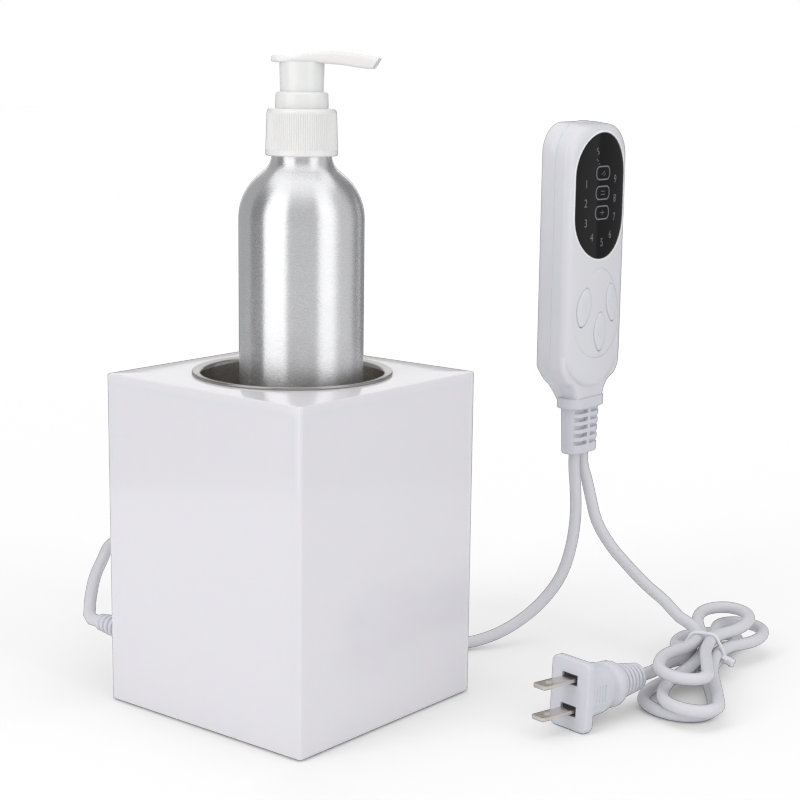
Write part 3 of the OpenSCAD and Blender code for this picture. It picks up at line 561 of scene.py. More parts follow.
@dataclass
class Studio:
    """Camera, lamps, white backdrop and floor."""

    eye: Point = (-527.8, -485.1, 260.8)
    azimuth: float = -50.86
    elevation: float = 10.76
    roll: float = 0.72
    focal_px: float = 1817.2
    frame_px: float = 800.0
    sensor: float = 36.0
    near: float = 0.01
    far: float = 20.0
    table_half: float = 6000.0
    table_white: Colour = (0.86, 0.86, 0.86)
    world_light: float = 0.76
    world_tone: Colour = (0.98, 0.985, 1.0)
    card_far: float = 430.0
    card_foot: float = 2.0
    card_top: float = 650.0
    card_tint: float = 1.01
    card_steps: int = 12
    lamps: tuple = (
        # name, place, aim, size, watts
        ("strip_left", (-1.05, 0.2, 0.62), (0, 0, 0.14), (0.5, 1.1), 3.2),
        ("strip_right", (-0.05, -1.1, 0.62), (0, 0, 0.14), (0.42, 1.1), 2.0),
        ("overhead", (-0.1, -0.1, 1.3), (0.05, 0, 0), (1.2, 1.2), 2.0))
    cards: tuple = (
        # name, bearing, spread, brightness
        ("card_left", 134.5, 33, 0.22), ("card_bright_left", 173.5, 45, 1.2),
        ("card_front", -135, 58, 0.47), ("card_bright_right", -89.5, 33, 1.1),
        ("card_right", -51.5, 43, 0.54), ("card_back", -4, 52, 0.24),
        ("card_edge", 89, 58, 0.38))
    low_card: tuple = (
        # name, bearing, spread, brightness, height
        "card_far", 41, 38, 0.38, 170.0)

    def camera(self) -> None:
        """Sets up the photograph's camera."""
        a, e, r = (math.radians(v) for v in (self.azimuth, self.elevation, self.roll))
        back = Vector((math.sin(a) * math.cos(e), -math.cos(a) * math.cos(e), math.sin(e)))
        right = Vector((math.cos(a), math.sin(a), 0))
        up = back.cross(right)
        turned = right * math.cos(r) + up * math.sin(r)
        raised = up * math.cos(r) - right * math.sin(r)
        data = bpy.data.cameras.new("camera")
        data.sensor_width = self.sensor
        data.lens = self.focal_px / self.frame_px * self.sensor
        data.clip_start, data.clip_end = self.near, self.far
        cam = bpy.data.objects.new("camera", data)
        cam.matrix_world = Matrix((
            (turned.x, raised.x, back.x, self.eye[0] * MM),
            (turned.y, raised.y, back.y, self.eye[1] * MM),
            (turned.z, raised.z, back.z, self.eye[2] * MM),
            (0, 0, 0, 1),
        ))
        bpy.context.scene.collection.objects.link(cam)
        bpy.context.scene.camera = cam

    def lamp(self, name: str, at: Point, aim: Point, size: Flat, power: float) -> None:
        """Adds a soft rectangular lamp.

        Args:
            name: The lamp's name.
            at: Its place in metres.
            aim: The point it faces, in metres.
            size: Width and height in metres.
            power: Watts.
        """
        data = bpy.data.lights.new(name, "AREA")
        data.shape = "RECTANGLE"
        data.size, data.size_y = size
        data.energy = power
        obj = bpy.data.objects.new(name, data)
        obj.visible_glossy = False
        way = Vector(aim) - Vector(at)
        obj.matrix_world = (Matrix.Translation(at)
                            @ way.to_track_quat("-Z", "Y").to_matrix().to_4x4())
        bpy.context.scene.collection.objects.link(obj)

    def card(self, name: str, bearing: float, spread: float, grey: float, tall: float) -> None:
        """Adds a curved card that only reflections see.

        Args:
            name: The card's name.
            bearing: Its middle, in degrees from +X.
            spread: The angle it covers, in degrees.
            grey: Its brightness.
            tall: Height of its upper edge.
        """
        verts, steps = [], self.card_steps
        for k in range(steps + 1):
            w = math.radians(bearing + spread * (k / steps - 0.5))
            verts += [(self.card_far * math.cos(w), self.card_far * math.sin(w), z)
                      for z in (self.card_foot, tall)]
        faces = [[2 * k, 2 * k + 2, 2 * k + 3, 2 * k + 1] for k in range(steps)]
        obj = make(name, verts, faces)
        glow = plain_material(name, "ShaderNodeEmission", (grey, grey, grey * self.card_tint))
        obj.data.materials.append(glow)
        obj.visible_camera = obj.visible_diffuse = obj.visible_shadow = False
        obj.visible_transmission = obj.visible_volume_scatter = False

    def surround(self) -> None:
        """White to the camera and to reflections, soft grey as light."""
        world = bpy.data.worlds.new("studio")
        bpy.context.scene.world = world
        world.use_nodes = True
        tree = world.node_tree
        tree.nodes.clear()
        add, link = tree.nodes.new, tree.links.new
        out, mix, path = (add("ShaderNode" + kind)
                          for kind in ("OutputWorld", "MixShader", "LightPath"))
        seen, light = add("ShaderNodeBackground"), add("ShaderNodeBackground")
        seen.inputs["Color"].default_value = (1, 1, 1, 1)
        light.inputs["Color"].default_value = (*self.world_tone, 1)
        light.inputs["Strength"].default_value = self.world_light
        either, any_of = add("ShaderNodeMath"), add("ShaderNodeMath")
        either.operation = any_of.operation = "MAXIMUM"
        link(path.outputs["Is Camera Ray"], either.inputs[0])
        link(path.outputs["Is Glossy Ray"], either.inputs[1])
        link(either.outputs[0], any_of.inputs[0])
        link(path.outputs["Is Transmission Ray"], any_of.inputs[1])
        link(any_of.outputs[0], mix.inputs[0])
        link(light.outputs[0], mix.inputs[1])
        link(seen.outputs[0], mix.inputs[2])
        link(mix.outputs[0], out.inputs[0])

    def floor(self) -> None:
        """A plain white table that keeps the object's shadow."""
        size = self.table_half
        obj = make("table_top", [(-size, -size, 0), (size, -size, 0), (size, size, 0),
                                 (-size, size, 0)], [[0, 1, 2, 3]])
        obj.data.materials.append(
            plain_material("table_white", "ShaderNodeBsdfDiffuse", self.table_white))
        obj.is_shadow_catcher = True

    def build(self) -> None:
        """Builds the whole studio."""
        view = bpy.context.scene.view_settings
        view.view_transform = "Standard"
        self.camera()
        self.surround()
        self.floor()
        for lamp in self.lamps:
            self.lamp(*lamp)
        for card in self.cards:
            self.card(*card, self.card_top)
        self.card(*self.low_card)


# ---------------------------------------------------------------- plug and leads


@dataclass
class Plug:
    """Two-blade mains plug with its ribbed relief."""

    width: float = 19.9
    height: float = 28.5
    length: float = 41.5
    bore: float = 2.55
    blade: float = 17.6
    blade_w: float = 6.35
    blade_t: float = 1.5
    blade_gap: float = 12.7
    tip_r: float = 1.1
    hole_at: float = 12.0
    hole_r: float = 1.6
    window_w: float = 4.1
    window_h: float = 2.2
    window_low: float = -1.9
    insert_in: Point = (4.2, 4.8, 2.4)
    insert_low: float = -3.35
    insert_high: float = -1.3
    mark_x: float = 7.55
    bars: int = 4
    bar_z: float = -8.2
    bar_step: float = 1.7
    bar_r: float = 0.32
    stroke_r: float = 0.36
    relief_z: float = -25.2
    ribs: int = 6
    rib_r: float = 7.3
    rib_step: float = 2.45
    rib_taper: float = 0.36
    plate: tuple = (
        # height from the face, drawn in, corner radius
        (0.0, 1.2, 2.5), (-0.12, 0.6, 2.8), (-0.4, 0.15, 3.0), (-0.8, 0, 3.0), (-3.3, 0, 3.0),
        (-3.75, 0.3, 3.0), (-4.0, 1.0, 2.8))
    body: tuple = (
        # height from the face, width, height, corner radius
        (-4.1, 16.4, 21.2, 4.0), (-5.2, 15.6, 20.2, 4.4), (-14.0, 15.0, 19.4, 4.8),
        (-17.2, 14.6, 18.6, 5.4), (-18.7, 13.9, 17.2, 5.8), (-19.2, 14.2, 16.6, 6.6),
        (-19.6, 15.8, 16.8, 7.7), (-20.2, 17.6, 18.0, 8.6), (-21.2, 18.4, 18.6, 9.0),
        (-23.6, 18.3, 18.5, 8.9), (-24.8, 17.6, 17.8, 8.6), (-25.5, 16.2, 16.4, 7.9),
        (-25.9, 13.6, 13.6, 6.7), (-26.0, 11.6, 11.6, 5.7))

    def case(self, frame: Matrix) -> bpy.types.Object:
        """The plate and body with their two blade windows.

        Args:
            frame: The plug's place in millimetres.

        Returns:
            The case.
        """
        w, h, x, y = self.width, self.height, self.window_w, self.window_h
        shapes = [(z, w - d, h - d, r) for z, d, r in self.plate] + list(self.body)
        rings = [[frame @ Vector((*p, z)) for p in rounded(a, b, r)]
                 for z, a, b, r in shapes]
        windows = []
        for k in (-self.blade_gap / 2, self.blade_gap / 2):
            outline = [(-x, k - y), (x, k - y), (x, k + y), (-x, k + y)]
            windows.append(prism("window", outline, self.window_low, 1.0, frame))
        return carve(loft("plug_case", rings, 42.0), windows)

    def marks(self, frame: Matrix) -> list[bpy.types.Object]:
        """Plain raised bars on the body's two sides.

        Args:
            frame: The plug's place in millimetres.

        Returns:
            The bars.
        """
        out = []
        for x in (-self.mark_x, self.mark_x):
            for k in range(self.bars):
                z = self.bar_z - self.bar_step * k
                bar = [frame @ Vector((x, y, z)) for y in (-3.2, 3.4)]
                out.append(sweep("plug_mark", bar, self.bar_r, 8))
            bar = [frame @ Vector((x, -4.6, z)) for z in (-7.2, -14.6)]
            out.append(sweep("plug_mark", bar, self.stroke_r, 8))
        return out

    def relief(self, frame: Matrix) -> bpy.types.Object:
        """The six close ribs round the lead.

        Args:
            frame: The plug's place in millimetres.

        Returns:
            The relief.
        """
        start, end = self.relief_z, -self.length
        outline = [(2.9, start), (5.6, start - 0.3)]
        for k in range(self.ribs):
            r, z = self.rib_r - self.rib_taper * k, start - 1.1 - self.rib_step * k
            outline += [(r - 1.3, z + 0.1), (r - 0.25, z - 0.05), (r, z - 0.35), (r, z - 1.15),
                        (r - 0.25, z - 1.45), (r - 1.4, z - 1.6)]
        outline += [(3.5, end + 0.35), (3.1, end), (self.bore, end), (self.bore, start)]
        relief = lathe("plug_relief", outline, steps=48)
        relief.data.transform(Matrix.Scale(MM, 4) @ frame @ Matrix.Scale(1 / MM, 4))
        return relief

    def blades(self, frame: Matrix) -> bpy.types.Object:
        """The two blades with their holes.

        Args:
            frame: The plug's place in millimetres.

        Returns:
            Both blades as one piece.
        """
        half, thick, r, blades = self.blade_w / 2, self.blade_t / 2, self.tip_r, []
        outline = ([(-half, -1.4), (half, -1.4)] + arc(half - r, self.blade - r, r, 0, 90, 5)
                   + arc(r - half, self.blade - r, r, 90, 180, 5))
        for k in (-self.blade_gap / 2, self.blade_gap / 2):
            turned = frame @ Matrix(((1, 0, 0, 0), (0, 0, 1, k), (0, 1, 0, 0), (0, 0, 0, 1)))
            hole = prism("hole", arc(0, self.hole_at, self.hole_r, 0, 345, 23), -2, 2, turned)
            blades.append(carve(prism("plug_blade", outline, -thick, thick, turned), [hole]))
        return soften(merge("plug_blade_pair", blades), 0.18, 2, 50)

    def build(self, leads: "Leads") -> list[bpy.types.Object]:
        """Builds the plug at the end of the mains lead.

        Args:
            leads: The leads, which say where the plug lies.

        Returns:
            The pieces.
        """
        head = leads.plug_heading()
        left = unit(Vector((0, 0, 1)).cross(head))
        up = head.cross(left)
        at = Vector(leads.plug_at)
        frame = Matrix(((left.x, up.x, head.x, at.x), (left.y, up.y, head.y, at.y),
                        (left.z, up.z, head.z, at.z), (0, 0, 0, 1)))
        case = merge("plug_body_piece",
                     [self.case(frame), self.relief(frame), *self.marks(frame)])
        settle(case, RELIEF_WHITE, "warmer", "relief_white", "plug_body")
        across, along, corner = self.insert_in
        insert = prism("plug_insert",
                       rounded(self.width - across, self.height - along, corner),
                       self.insert_low, self.insert_high, frame)
        settle(insert, GREY_INSERT, "warmer", "dark_plastic", "plug_bridge")
        pair = self.blades(frame)
        settle(pair, BLADE_NICKEL, "warmer", "blade_brass", "plug_blades")
        log.info("plug")
        return [case, insert, pair]


@dataclass
class Leads:
    """The two leads, the hank, its tie and the route they follow."""

    width: float = 5.0
    relief_length: float = 20.5
    entry: Point = (-40.0, 52.0, 26.0)
    grip: Point = (151.5, -37.5, 84.5)
    cord_off: float = 3.3
    waist: Flat = (134.0, -116.0)
    waist_turn: float = 18.0
    step: float = 2.9
    rows: Point = (4.8, 10.3, 15.8)
    seats: tuple = (
        # steps across the waist, row
        (1, 2), (-1, 2), (0, 1), (-2, 1), (1, 0), (-1, 0), (2, 1))
    bows: tuple = (
        # side, reach, end radius, middle across, height, lean and rise at the end
        (-1, 57, 10, 4.6, 18.2, -9, -0.6), (1, 43.8, 11, -1.8, 15.2, -0.5, 3),
        (-1, 66.2, 11.4, 0.3, 8.5, -10, -0.3), (1, 49, 10.4, -10.3, 9.5, 3.2, 0.8),
        (-1, 59, 14.4, 4.5, 2.8, -7, 0), (1, 49.5, 12, 11, 3.2, -9.5, 0.6))
    plug_at: Point = (43.1, -108.0, 14.46)
    plug_turn: float = 170.8
    plug_dip: float = 2.2
    plug_length: float = Plug.length
    leg_rings: int = 12
    end_rings: int = 18
    settled: float = 0.8
    gap: float = 4.0
    slack: float = 0.02
    tie_off: float = 0.7
    tie_r: float = 0.8
    strand_r: float = 1.0
    strand_off: float = 1.05
    strand_gap: float = 0.5
    strand_turn: float = 1.1
    warmer_route: tuple = (
        (-35.5, 83.8, 28.5), (-27.8, 91.5, 32), (-17.3, 101, 35), (-2, 113.5, 37),
        (16, 129, 37), (40, 145, 33), (64, 163, 25.5), (88, 180, 16), (110, 191.5, 8),
        (127, 190, 4), (138, 179, 2.7), (141, 158, 2.5), (130, 125, 2.5), (108, 88, 2.5),
        (86, 55, 2.5), (76, 25, 2.5), (81, 0, 2.5), (92, -17, 3), (104, -24.5, 5),
        (117, -31, 10.5), (128, -36.5, 19), (136.5, -40.4, 30), (142, -41.4, 42.5),
        (146, -40.6, 56), (147.8, -38.8, 69))
    drop_route: tuple = ((154, -40.6, 72), (152.5, -44.2, 64), (150.6, -49, 54),
                         (149, -58.3, 44), (147, -69, 37), (144, -80.8, 31))
    into_waist: tuple = ((17, 20.9, 25.5), (12.7, 13.6, 20.8), (9.6, 5.4, 17.5))
    tail_route: tuple = ((-16.6, 9.4, 10.5), (-30.1, 12.5, 11.4))
    knot: tuple = ((0, -8.4, 9), (0.2, -9.6, 8.6), (0.6, -11.2, 7.9), (1.0, -12.6, 6.9))

    def on_waist(self, s: float, q: float, z: float) -> Vector:
        """A point given along and across the hank.

        Args:
            s: Distance along the hank from its waist.
            q: Distance across it.
            z: Height.

        Returns:
            The point in the row frame.
        """
        c, d = (f(math.radians(self.waist_turn)) for f in (math.cos, math.sin))
        return Vector((self.waist[0] + s * c - q * d, self.waist[1] + s * d + q * c, z))

    def seat(self, i: int) -> Flat:
        """Sideways place and height of strand i at the waist."""
        return self.seats[i][0] * self.step, self.rows[self.seats[i][1]]

    def plug_heading(self) -> Vector:
        """The way the plug's blades point."""
        a, e = math.radians(self.plug_turn), math.radians(self.plug_dip)
        return Vector((math.cos(a) * math.cos(e), math.sin(a) * math.cos(e), math.sin(e)))

    def waist_heading(self) -> Vector:
        """The way strands leave the waist towards the plug."""
        w = math.radians(self.waist_turn)
        return Vector((-math.cos(w), -math.sin(w), 0))

    @staticmethod
    def smooth(points: list[Vector], a: Vector, b: Vector, gap: float) -> list[Vector]:
        """A smooth line through the route's points, straight at both ends.

        Args:
            points: The route.
            a: Heading at its start.
            b: Heading at its end.
            gap: Rough distance between points of the line.

        Returns:
            The line's points.
        """
        last = len(points) - 1

        def heading(i: int) -> Vector:
            """The line's heading at a route point.

            Args:
                i: The point's number.

            Returns:
                The heading.
            """
            if i <= 1:
                return a
            if i >= last - 1:
                return b
            f = (points[i] - points[i - 1]).length
            g = (points[i + 1] - points[i]).length
            return ((points[i] - points[i - 1]) * g / f
                    + (points[i + 1] - points[i]) * f / g) / (f + g)

        line = []
        for i in range(last):
            p, n = points[i], points[i + 1]
            g = (n - p).length
            count = max(1, round(g / gap))
            for k in range(count):
                t = k / count
                line.append((2 * t**3 - 3 * t * t + 1) * p
                            + (t**3 - 2 * t * t + t) * g * heading(i)
                            + (3 * t * t - 2 * t**3) * n
                            + (t**3 - t * t) * g * heading(i + 1))
        return line + [points[last]]

    def bow(self, i: int) -> list[Vector]:
        """Points of one bow of the hank.

        Args:
            i: The bow's number; it runs from seat i to just before seat i + 1.

        Returns:
            The points.
        """
        side, reach, r, off, level, lean, rise = self.bows[i]
        (qa, za), (qb, zb) = self.seat(i), self.seat(i + 1)
        run, k = reach - r, 1 if qa > qb else -1

        def leg(q: float, z: float, way: int, x: float) -> Vector:
            """A point of one of the bow's legs.

            Args:
                q: The leg's place across the waist.
                z: Its height there.
                way: 1 if it bends to the far side, -1 to the near side.
                x: The point's distance from the waist.

            Returns:
                The point.
            """
            shift = off + way * r - q
            bend = (run * run + shift * shift) / (4 * abs(shift))
            s = math.copysign(1, shift)
            if x <= run / 2:
                across = s * (bend - math.sqrt(bend * bend - x * x))
            else:
                across = shift - s * (bend - math.sqrt(bend * bend - (run - x) ** 2))
            lift = (1 - math.cos(math.pi * min(x / run / self.settled, 1))) / 2
            f = (x / reach) ** 2
            return self.on_waist(side * x, q + across + lean * f,
                                 z + (level - z) * lift + rise * f)

        out = [leg(qa, za, k, run * n / self.leg_rings) for n in range(self.leg_rings)]
        for n in range(self.end_rings):
            w = math.pi * n / self.end_rings
            x = run + r * math.sin(w)
            f = (x / reach) ** 2
            out.append(self.on_waist(side * x, off + k * r * math.cos(w) + lean * f,
                                     level + rise * f))
        for n in range(self.leg_rings):
            out.append(leg(qb, zb, -k, run * (1 - n / self.leg_rings)))
        return out

    def warmer_line(self) -> list[Vector]:
        """Centreline of the lead from the warmer to the controller.

        Returns:
            The line's points.
        """
        tip = Vector(self.entry) + Vector((0, self.relief_length, 0))
        end = Vector(self.grip) - Vector((self.cord_off, 0, 0))
        route = [tip, tip + Vector((0, self.width, 0)), *map(Vector, self.warmer_route),
                 end - Vector((0, 0, self.width)), end]
        return self.smooth(route, Vector((0, 1, 0)), Vector((0, 0, 1)), self.gap)

    def mains_line(self) -> list[Vector]:
        """Centreline of the mains lead: drop, hank and tail as one line.

        Returns:
            The line's points.
        """
        start = Vector(self.grip) + Vector((self.cord_off, 0, 0))
        first = self.seat(0)
        route = [start, start - Vector((0, 0, self.width)), *map(Vector, self.drop_route),
                 *[self.on_waist(*p) for p in self.into_waist],
                 self.on_waist(self.width, *first), self.on_waist(0, *first)]
        line = self.smooth(route, Vector((0, 0, -1)), self.waist_heading(), self.gap)[:-1]
        for i in range(len(self.bows)):
            line += self.bow(i)
        q, z = self.seat(len(self.bows))
        line.append(self.on_waist(0, q, z))
        ahead = self.plug_heading()
        end = Vector(self.plug_at) - ahead * self.plug_length
        tail = [self.on_waist(-self.width, q, z), self.on_waist(-2 * self.width, q, z),
                *[self.on_waist(*p) for p in self.tail_route], end - ahead * self.width, end]
        return line + self.smooth(tail, self.waist_heading(), ahead, self.gap)

    @staticmethod
    def length(line: list[Vector]) -> float:
        """Length of a line in metres."""
        return sum((b - a).length for a, b in zip(line, line[1:])) * MM

    def tie(self) -> bpy.types.Object:
        """The wire tie: a loop round the waist and its twisted end.

        Returns:
            The tie.
        """
        off, x, (low, mid, top) = self.width / 2 + self.tie_off, self.step, self.rows
        corners = [(x, top, 90, 28), (2 * x, mid, 28, -28), (x, low, -28, -90),
                   (-x, low, -90, -152), (-2 * x, mid, -152, -208), (-x, top, -208, -270)]
        loop = []
        for q, z, a, b in corners:
            for u, v in arc(q, z, off, a, b, 6):
                loop.append(self.on_waist(0, u, v))
        parts = [sweep("tie_loop", loop, self.tie_r, 12, True)]
        knots = [self.on_waist(*p) for p in self.knot]
        spine = self.smooth(knots, unit(knots[1] - knots[0]), unit(knots[3] - knots[2]),
                            self.strand_gap)
        for phase in (0, math.pi):
            strand = []
            for n, p in enumerate(spine):
                w = phase + n * self.strand_turn
                ahead = unit(spine[min(n + 1, len(spine) - 1)] - spine[max(n - 1, 0)])
                side = unit(ahead.cross(Vector((0, 0, 1))))
                strand.append(p + (side * math.cos(w) + side.cross(ahead) * math.sin(w))
                              * self.strand_off)
            parts.append(sweep("tie_strand", strand, self.strand_r, 8))
        return merge("tie_wire", parts)

    def build(self, plug: Plug) -> None:
        """Args:
            plug: The mains plug.
        """
        radius = self.width / 2 - self.slack
        line = self.warmer_line()
        lead = sweep("warmer_lead", line, radius)
        settle(lead, CORD_WHITE, "warmer", "cord_white", "lead_warmer")
        self.length(line)
        log.info("warmer lead %.3f m", self.length(line))
        ends = plug.build(self)
        tie = self.tie()
        settle(tie, TIE_WHITE, "warmer", "tie_white", "cord_tie")
        line = self.mains_line()
        mains = sweep("mains_lead", line, radius)
        settle(mains, CORD_WHITE, "warmer", "cord_white", "lead_mains", "mains_hank", "mains_tail")
        self.length(line)
        log.info("mains lead %.3f m", self.length(line))


# ---------------------------------------------------------------- warmer


@dataclass
class Warmer:
    """Acrylic housing with its steel well and strain relief."""

    width: float = 104.0
    height: float = 135.5
    sheet: float = 4.0
    edge: float = 1.2
    bevel: tuple = (
        # drawn in, under the top
        (0, 0.7), (0.12, 0.32), (0.4, 0.06), (0.75, 0.0))
    cuts: int = 12
    lift: float = 0.9
    well_r: float = 36.4
    well_floor: float = 52.0
    well_bend: float = 3.0
    steel: float = 0.8
    lip: tuple = (
        # outward, up
        (0.1, -0.3), (0.35, 0.35), (0.8, 0.72), (1.5, 0.82), (2.2, 0.9))
    rim_w: float = 3.7
    rim_t: float = 1.16
    rim_gap: float = 0.4
    lip_low: float = 0.8
    entry: Point = Leads.entry
    relief_length: float = Leads.relief_length
    ribs: int = 6
    rib_r: float = 5.2
    rib_step: float = 2.85
    rib_taper: float = 0.34

    def panel(self, name: str, outline: list[Flat]) -> None:
        """Builds one upright panel.

        Args:
            name: The CAD node it stands for.
            outline: Its plan.
        """
        obj = prism(name + "_sheet", outline, self.lift, self.height - self.sheet, crease=25)
        settle(obj, ACRYLIC, "warmer", "acrylic", name)

    def panels(self) -> None:
        """The four walls and the top, whose outer corners are rounded."""
        h, e = self.width / 2, self.edge
        i = h - self.sheet
        self.panel("front_panel", [(-h, -i), *arc(e - h, e - h, e, 180, 270, 8),
                                   *arc(h - e, e - h, e, 270, 360, 8), (h, -i)])
        back = [(h, i), *arc(h - e, h - e, e, 0, 90, 8), *arc(e - h, h - e, e, 90, 180, 8),
                (-h, i)]
        self.panel("back_panel", back)
        self.panel("left_panel", [(-h, -i), (-i, -i), (-i, i), (-h, i)])
        self.panel("right_panel", [(i, -i), (h, -i), (h, i), (i, i)])
        plan = rounded(self.width, self.width, e, 8)
        low, bore = self.height - self.sheet, self.well_r + self.steel + self.rim_gap
        steps = len(plan)
        outer, ring = [], []
        for k in range(steps):
            (x0, y0), (x1, y1) = plan[k], plan[(k + 1) % steps]
            cuts = self.cuts if math.dist((x0, y0), (x1, y1)) > h else 1
            for c in range(cuts):
                x, y = x0 + (x1 - x0) * c / cuts, y0 + (y1 - y0) * c / cuts
                w = math.atan2(y, x)
                outer.append((x, y))
                ring.append((bore * math.cos(w), bore * math.sin(w)))
        rings = []
        for inset, z in ((0, low), *[(d, self.height - drop) for d, drop in self.bevel]):
            k = (self.width - 2 * inset) / self.width
            rings.append([(x * k, y * k, z) for x, y in outer])
        rings.append([(x, y, self.height) for x, y in ring])
        rings.append([(x, y, low) for x, y in ring])
        top = loft("top_sheet", rings, 28, True)
        settle(top, ACRYLIC, "warmer", "acrylic", "top_panel")
        log.info("housing panels")

    def well(self) -> None:
        """The steel well with its rolled lip."""
        r, t, z = self.well_r, self.steel, self.height
        rim, k, bend = r + self.rim_w, self.rim_t, self.well_bend
        floor, low = self.well_floor, z - self.lip_low
        outline = [(0, floor), *arc(r - bend, floor + bend, bend, -90, 0, 6), (r, low),
                   (r + t, low), *arc(r + t - bend, floor + bend - t, bend, 0, -90, 6),
                   (0, floor - t)]
        wall = lathe("well_wall", outline, steps=144, crease=50)
        outline = [(r, low), *[(r + out, z + up) for out, up in self.lip],
                   (r + 2.8, z + k - 0.06), *arc(rim - 0.62, z + k / 2, k / 2, 90, -90, 8),
                   (r + t + 0.3, z), (r + t, z - 0.3), (r + t, low), (r, low)]
        lip = lathe("well_lip", outline, steps=144, crease=50)
        # Lip and wall share one steel: the lip's darker colour is painted shade, the wall's
        # lighter colour is painted light.
        settle(lip, RIM_STEEL_PAINTED_SHADE, "warmer", "well_steel", "well_cup")
        settle(wall, WELL_STEEL_PAINTED_LIGHT, "warmer", "well_steel", "well_cup")

    def relief(self) -> None:
        """The ribbed strain relief behind the housing."""
        y, end = self.width / 2, self.width / 2 + self.relief_length
        outline = [(0, y - 9), (6.6, y - 9), (6.6, y - 4.2), (4.6, y - 4), (4.6, y), (5.4, y),
                   (5.6, y + 0.3), (5.5, y + 2), (5.2, y + 2.4), (3.7, y + 2.6)]
        for k in range(self.ribs):
            r, s = self.rib_r - self.rib_taper * k, y + 3.5 + self.rib_step * k
            outline += [(3.6 - 0.12 * k, s - 0.1), (r - 0.3, s), (r, s + 0.3),
                        (r - 0.05, s + 1.3), (r - 0.35, s + 1.6), (3.5 - 0.12 * k, s + 1.75)]
        outline += [(2.95, end - 0.2), (2.8, end), (0, end)]
        relief = lathe("warmer_relief", outline, steps=40)
        turn = Matrix.Translation(Vector((self.entry[0], 0, self.entry[2])) * MM)
        relief.data.transform(turn @ Matrix.Rotation(math.radians(-90), 4, "X"))
        settle(relief, RELIEF_WHITE, "warmer", "relief_white", "base_strain_relief")

    def build(self) -> None:
        """Builds the housing."""
        self.panels()
        self.well()
        self.relief()


# ---------------------------------------------------------------- bottle and pump


@dataclass
class Bottle:
    """Brushed bottle with a threaded neck."""

    at: Point = (2.2, -2.7, 0.0)
    radius: float = 24.7
    floor: float = 55.0
    shoulder: float = 197.0
    top: float = 236.1
    dome_r: float = 22.3
    flare_r: float = 8.0
    wall: float = 0.8
    neck_r: float = 11.7
    root_r: float = 10.7
    tip_r: float = 11.8
    mouth_r: float = 9.7
    turn: float = 50.0
    pitch: float = 3.175
    thread_turns: float = 1.25
    thread_down: float = 8.2
    foot_r: float = 2.0

    def heights(self) -> tuple[float, float, float, float]:
        """Works out the shoulder.

        Returns:
            Radius of the convex and hollow arcs, neck foot and neck top.
        """
        a, both = math.radians(self.turn), self.dome_r + self.flare_r
        run = (self.radius - self.neck_r - both * (1 - math.cos(a))) / math.tan(a)
        return self.dome_r, self.flare_r, self.shoulder + both * math.sin(a) + run, self.top

    def outline(self) -> list[Flat]:
        """The bottle's wall in section.

        Returns:
            The closed outline.
        """
        big, small, neck, top = self.heights()
        r, w, a, foot = self.radius, self.wall, self.turn, self.foot_r
        outer = [(0, self.floor + 1.2), (r - 6, self.floor + 1.0), (r - 4, self.floor),
                 *arc(r - foot, self.floor + foot, foot, -90, 0, 6)]
        outer += arc(r - big, self.shoulder, big, 0, a, 20)
        outer += arc(self.neck_r + small, neck, small, 180 + a, 180, 14)
        outer += [(self.neck_r, neck + 0.1), (self.neck_r - 0.3, neck + 0.4),
                  (self.root_r, neck + 0.4), (self.root_r, top - 0.3), (self.root_r - 0.3, top),
                  (self.mouth_r, top), (self.mouth_r, neck - 1.2)]
        outer += arc(self.neck_r + small, neck, small + w, 200, 180 + a, 10)
        outer += arc(r - big, self.shoulder, big - w, a, 0, 20)
        outer += [*arc(r - foot, self.floor + foot, foot - w, 0, -90, 4),
                  (0, self.floor + foot)]
        return outer

    def ridge(self, r_root: float, r_tip: float, low: float, turns: float,
              outward: int) -> bpy.types.Object:
        """A thread ridge that fades out at both ends.

        Args:
            r_root: Radius of the wall it stands on.
            r_tip: Radius of its crest.
            low: Height of its first turn.
            turns: Number of turns.
            outward: 1 for a neck, -1 for a closure.

        Returns:
            The ridge.
        """
        steps = round(turns * 48)
        rings = []
        for i in range(steps + 1):
            w = 2 * math.pi * turns * i / steps
            k = min(1.0, min(i, steps - i) / 6 + 0.08)
            root, tip = r_root - outward * 0.15, r_root + (r_tip - r_root) * k
            z = low + self.pitch * w / (2 * math.pi)
            c, s = math.cos(w), math.sin(w)
            rings.append([(self.at[0] + r * c, self.at[1] + r * s, z + h)
                          for r, h in ((root, -0.8), (tip, -0.35), (tip, 0.35), (root, 0.8))])
        return loft("ridge", rings, 30)

    def build(self) -> None:
        """Builds the bottle."""
        top = self.heights()[3]
        shell = lathe("bottle_shell", self.outline(), self.at, 160, 40)
        ridge = self.ridge(self.root_r, self.tip_r, top - self.thread_down,
                           self.thread_turns, 1)
        bottle = merge("bottle_piece", [shell, ridge])
        settle(bottle, BRUSHED_ALUMINIUM, "bottle", "bottle_aluminium", "bottle")
        log.info("bottle, neck top %.1f", top)


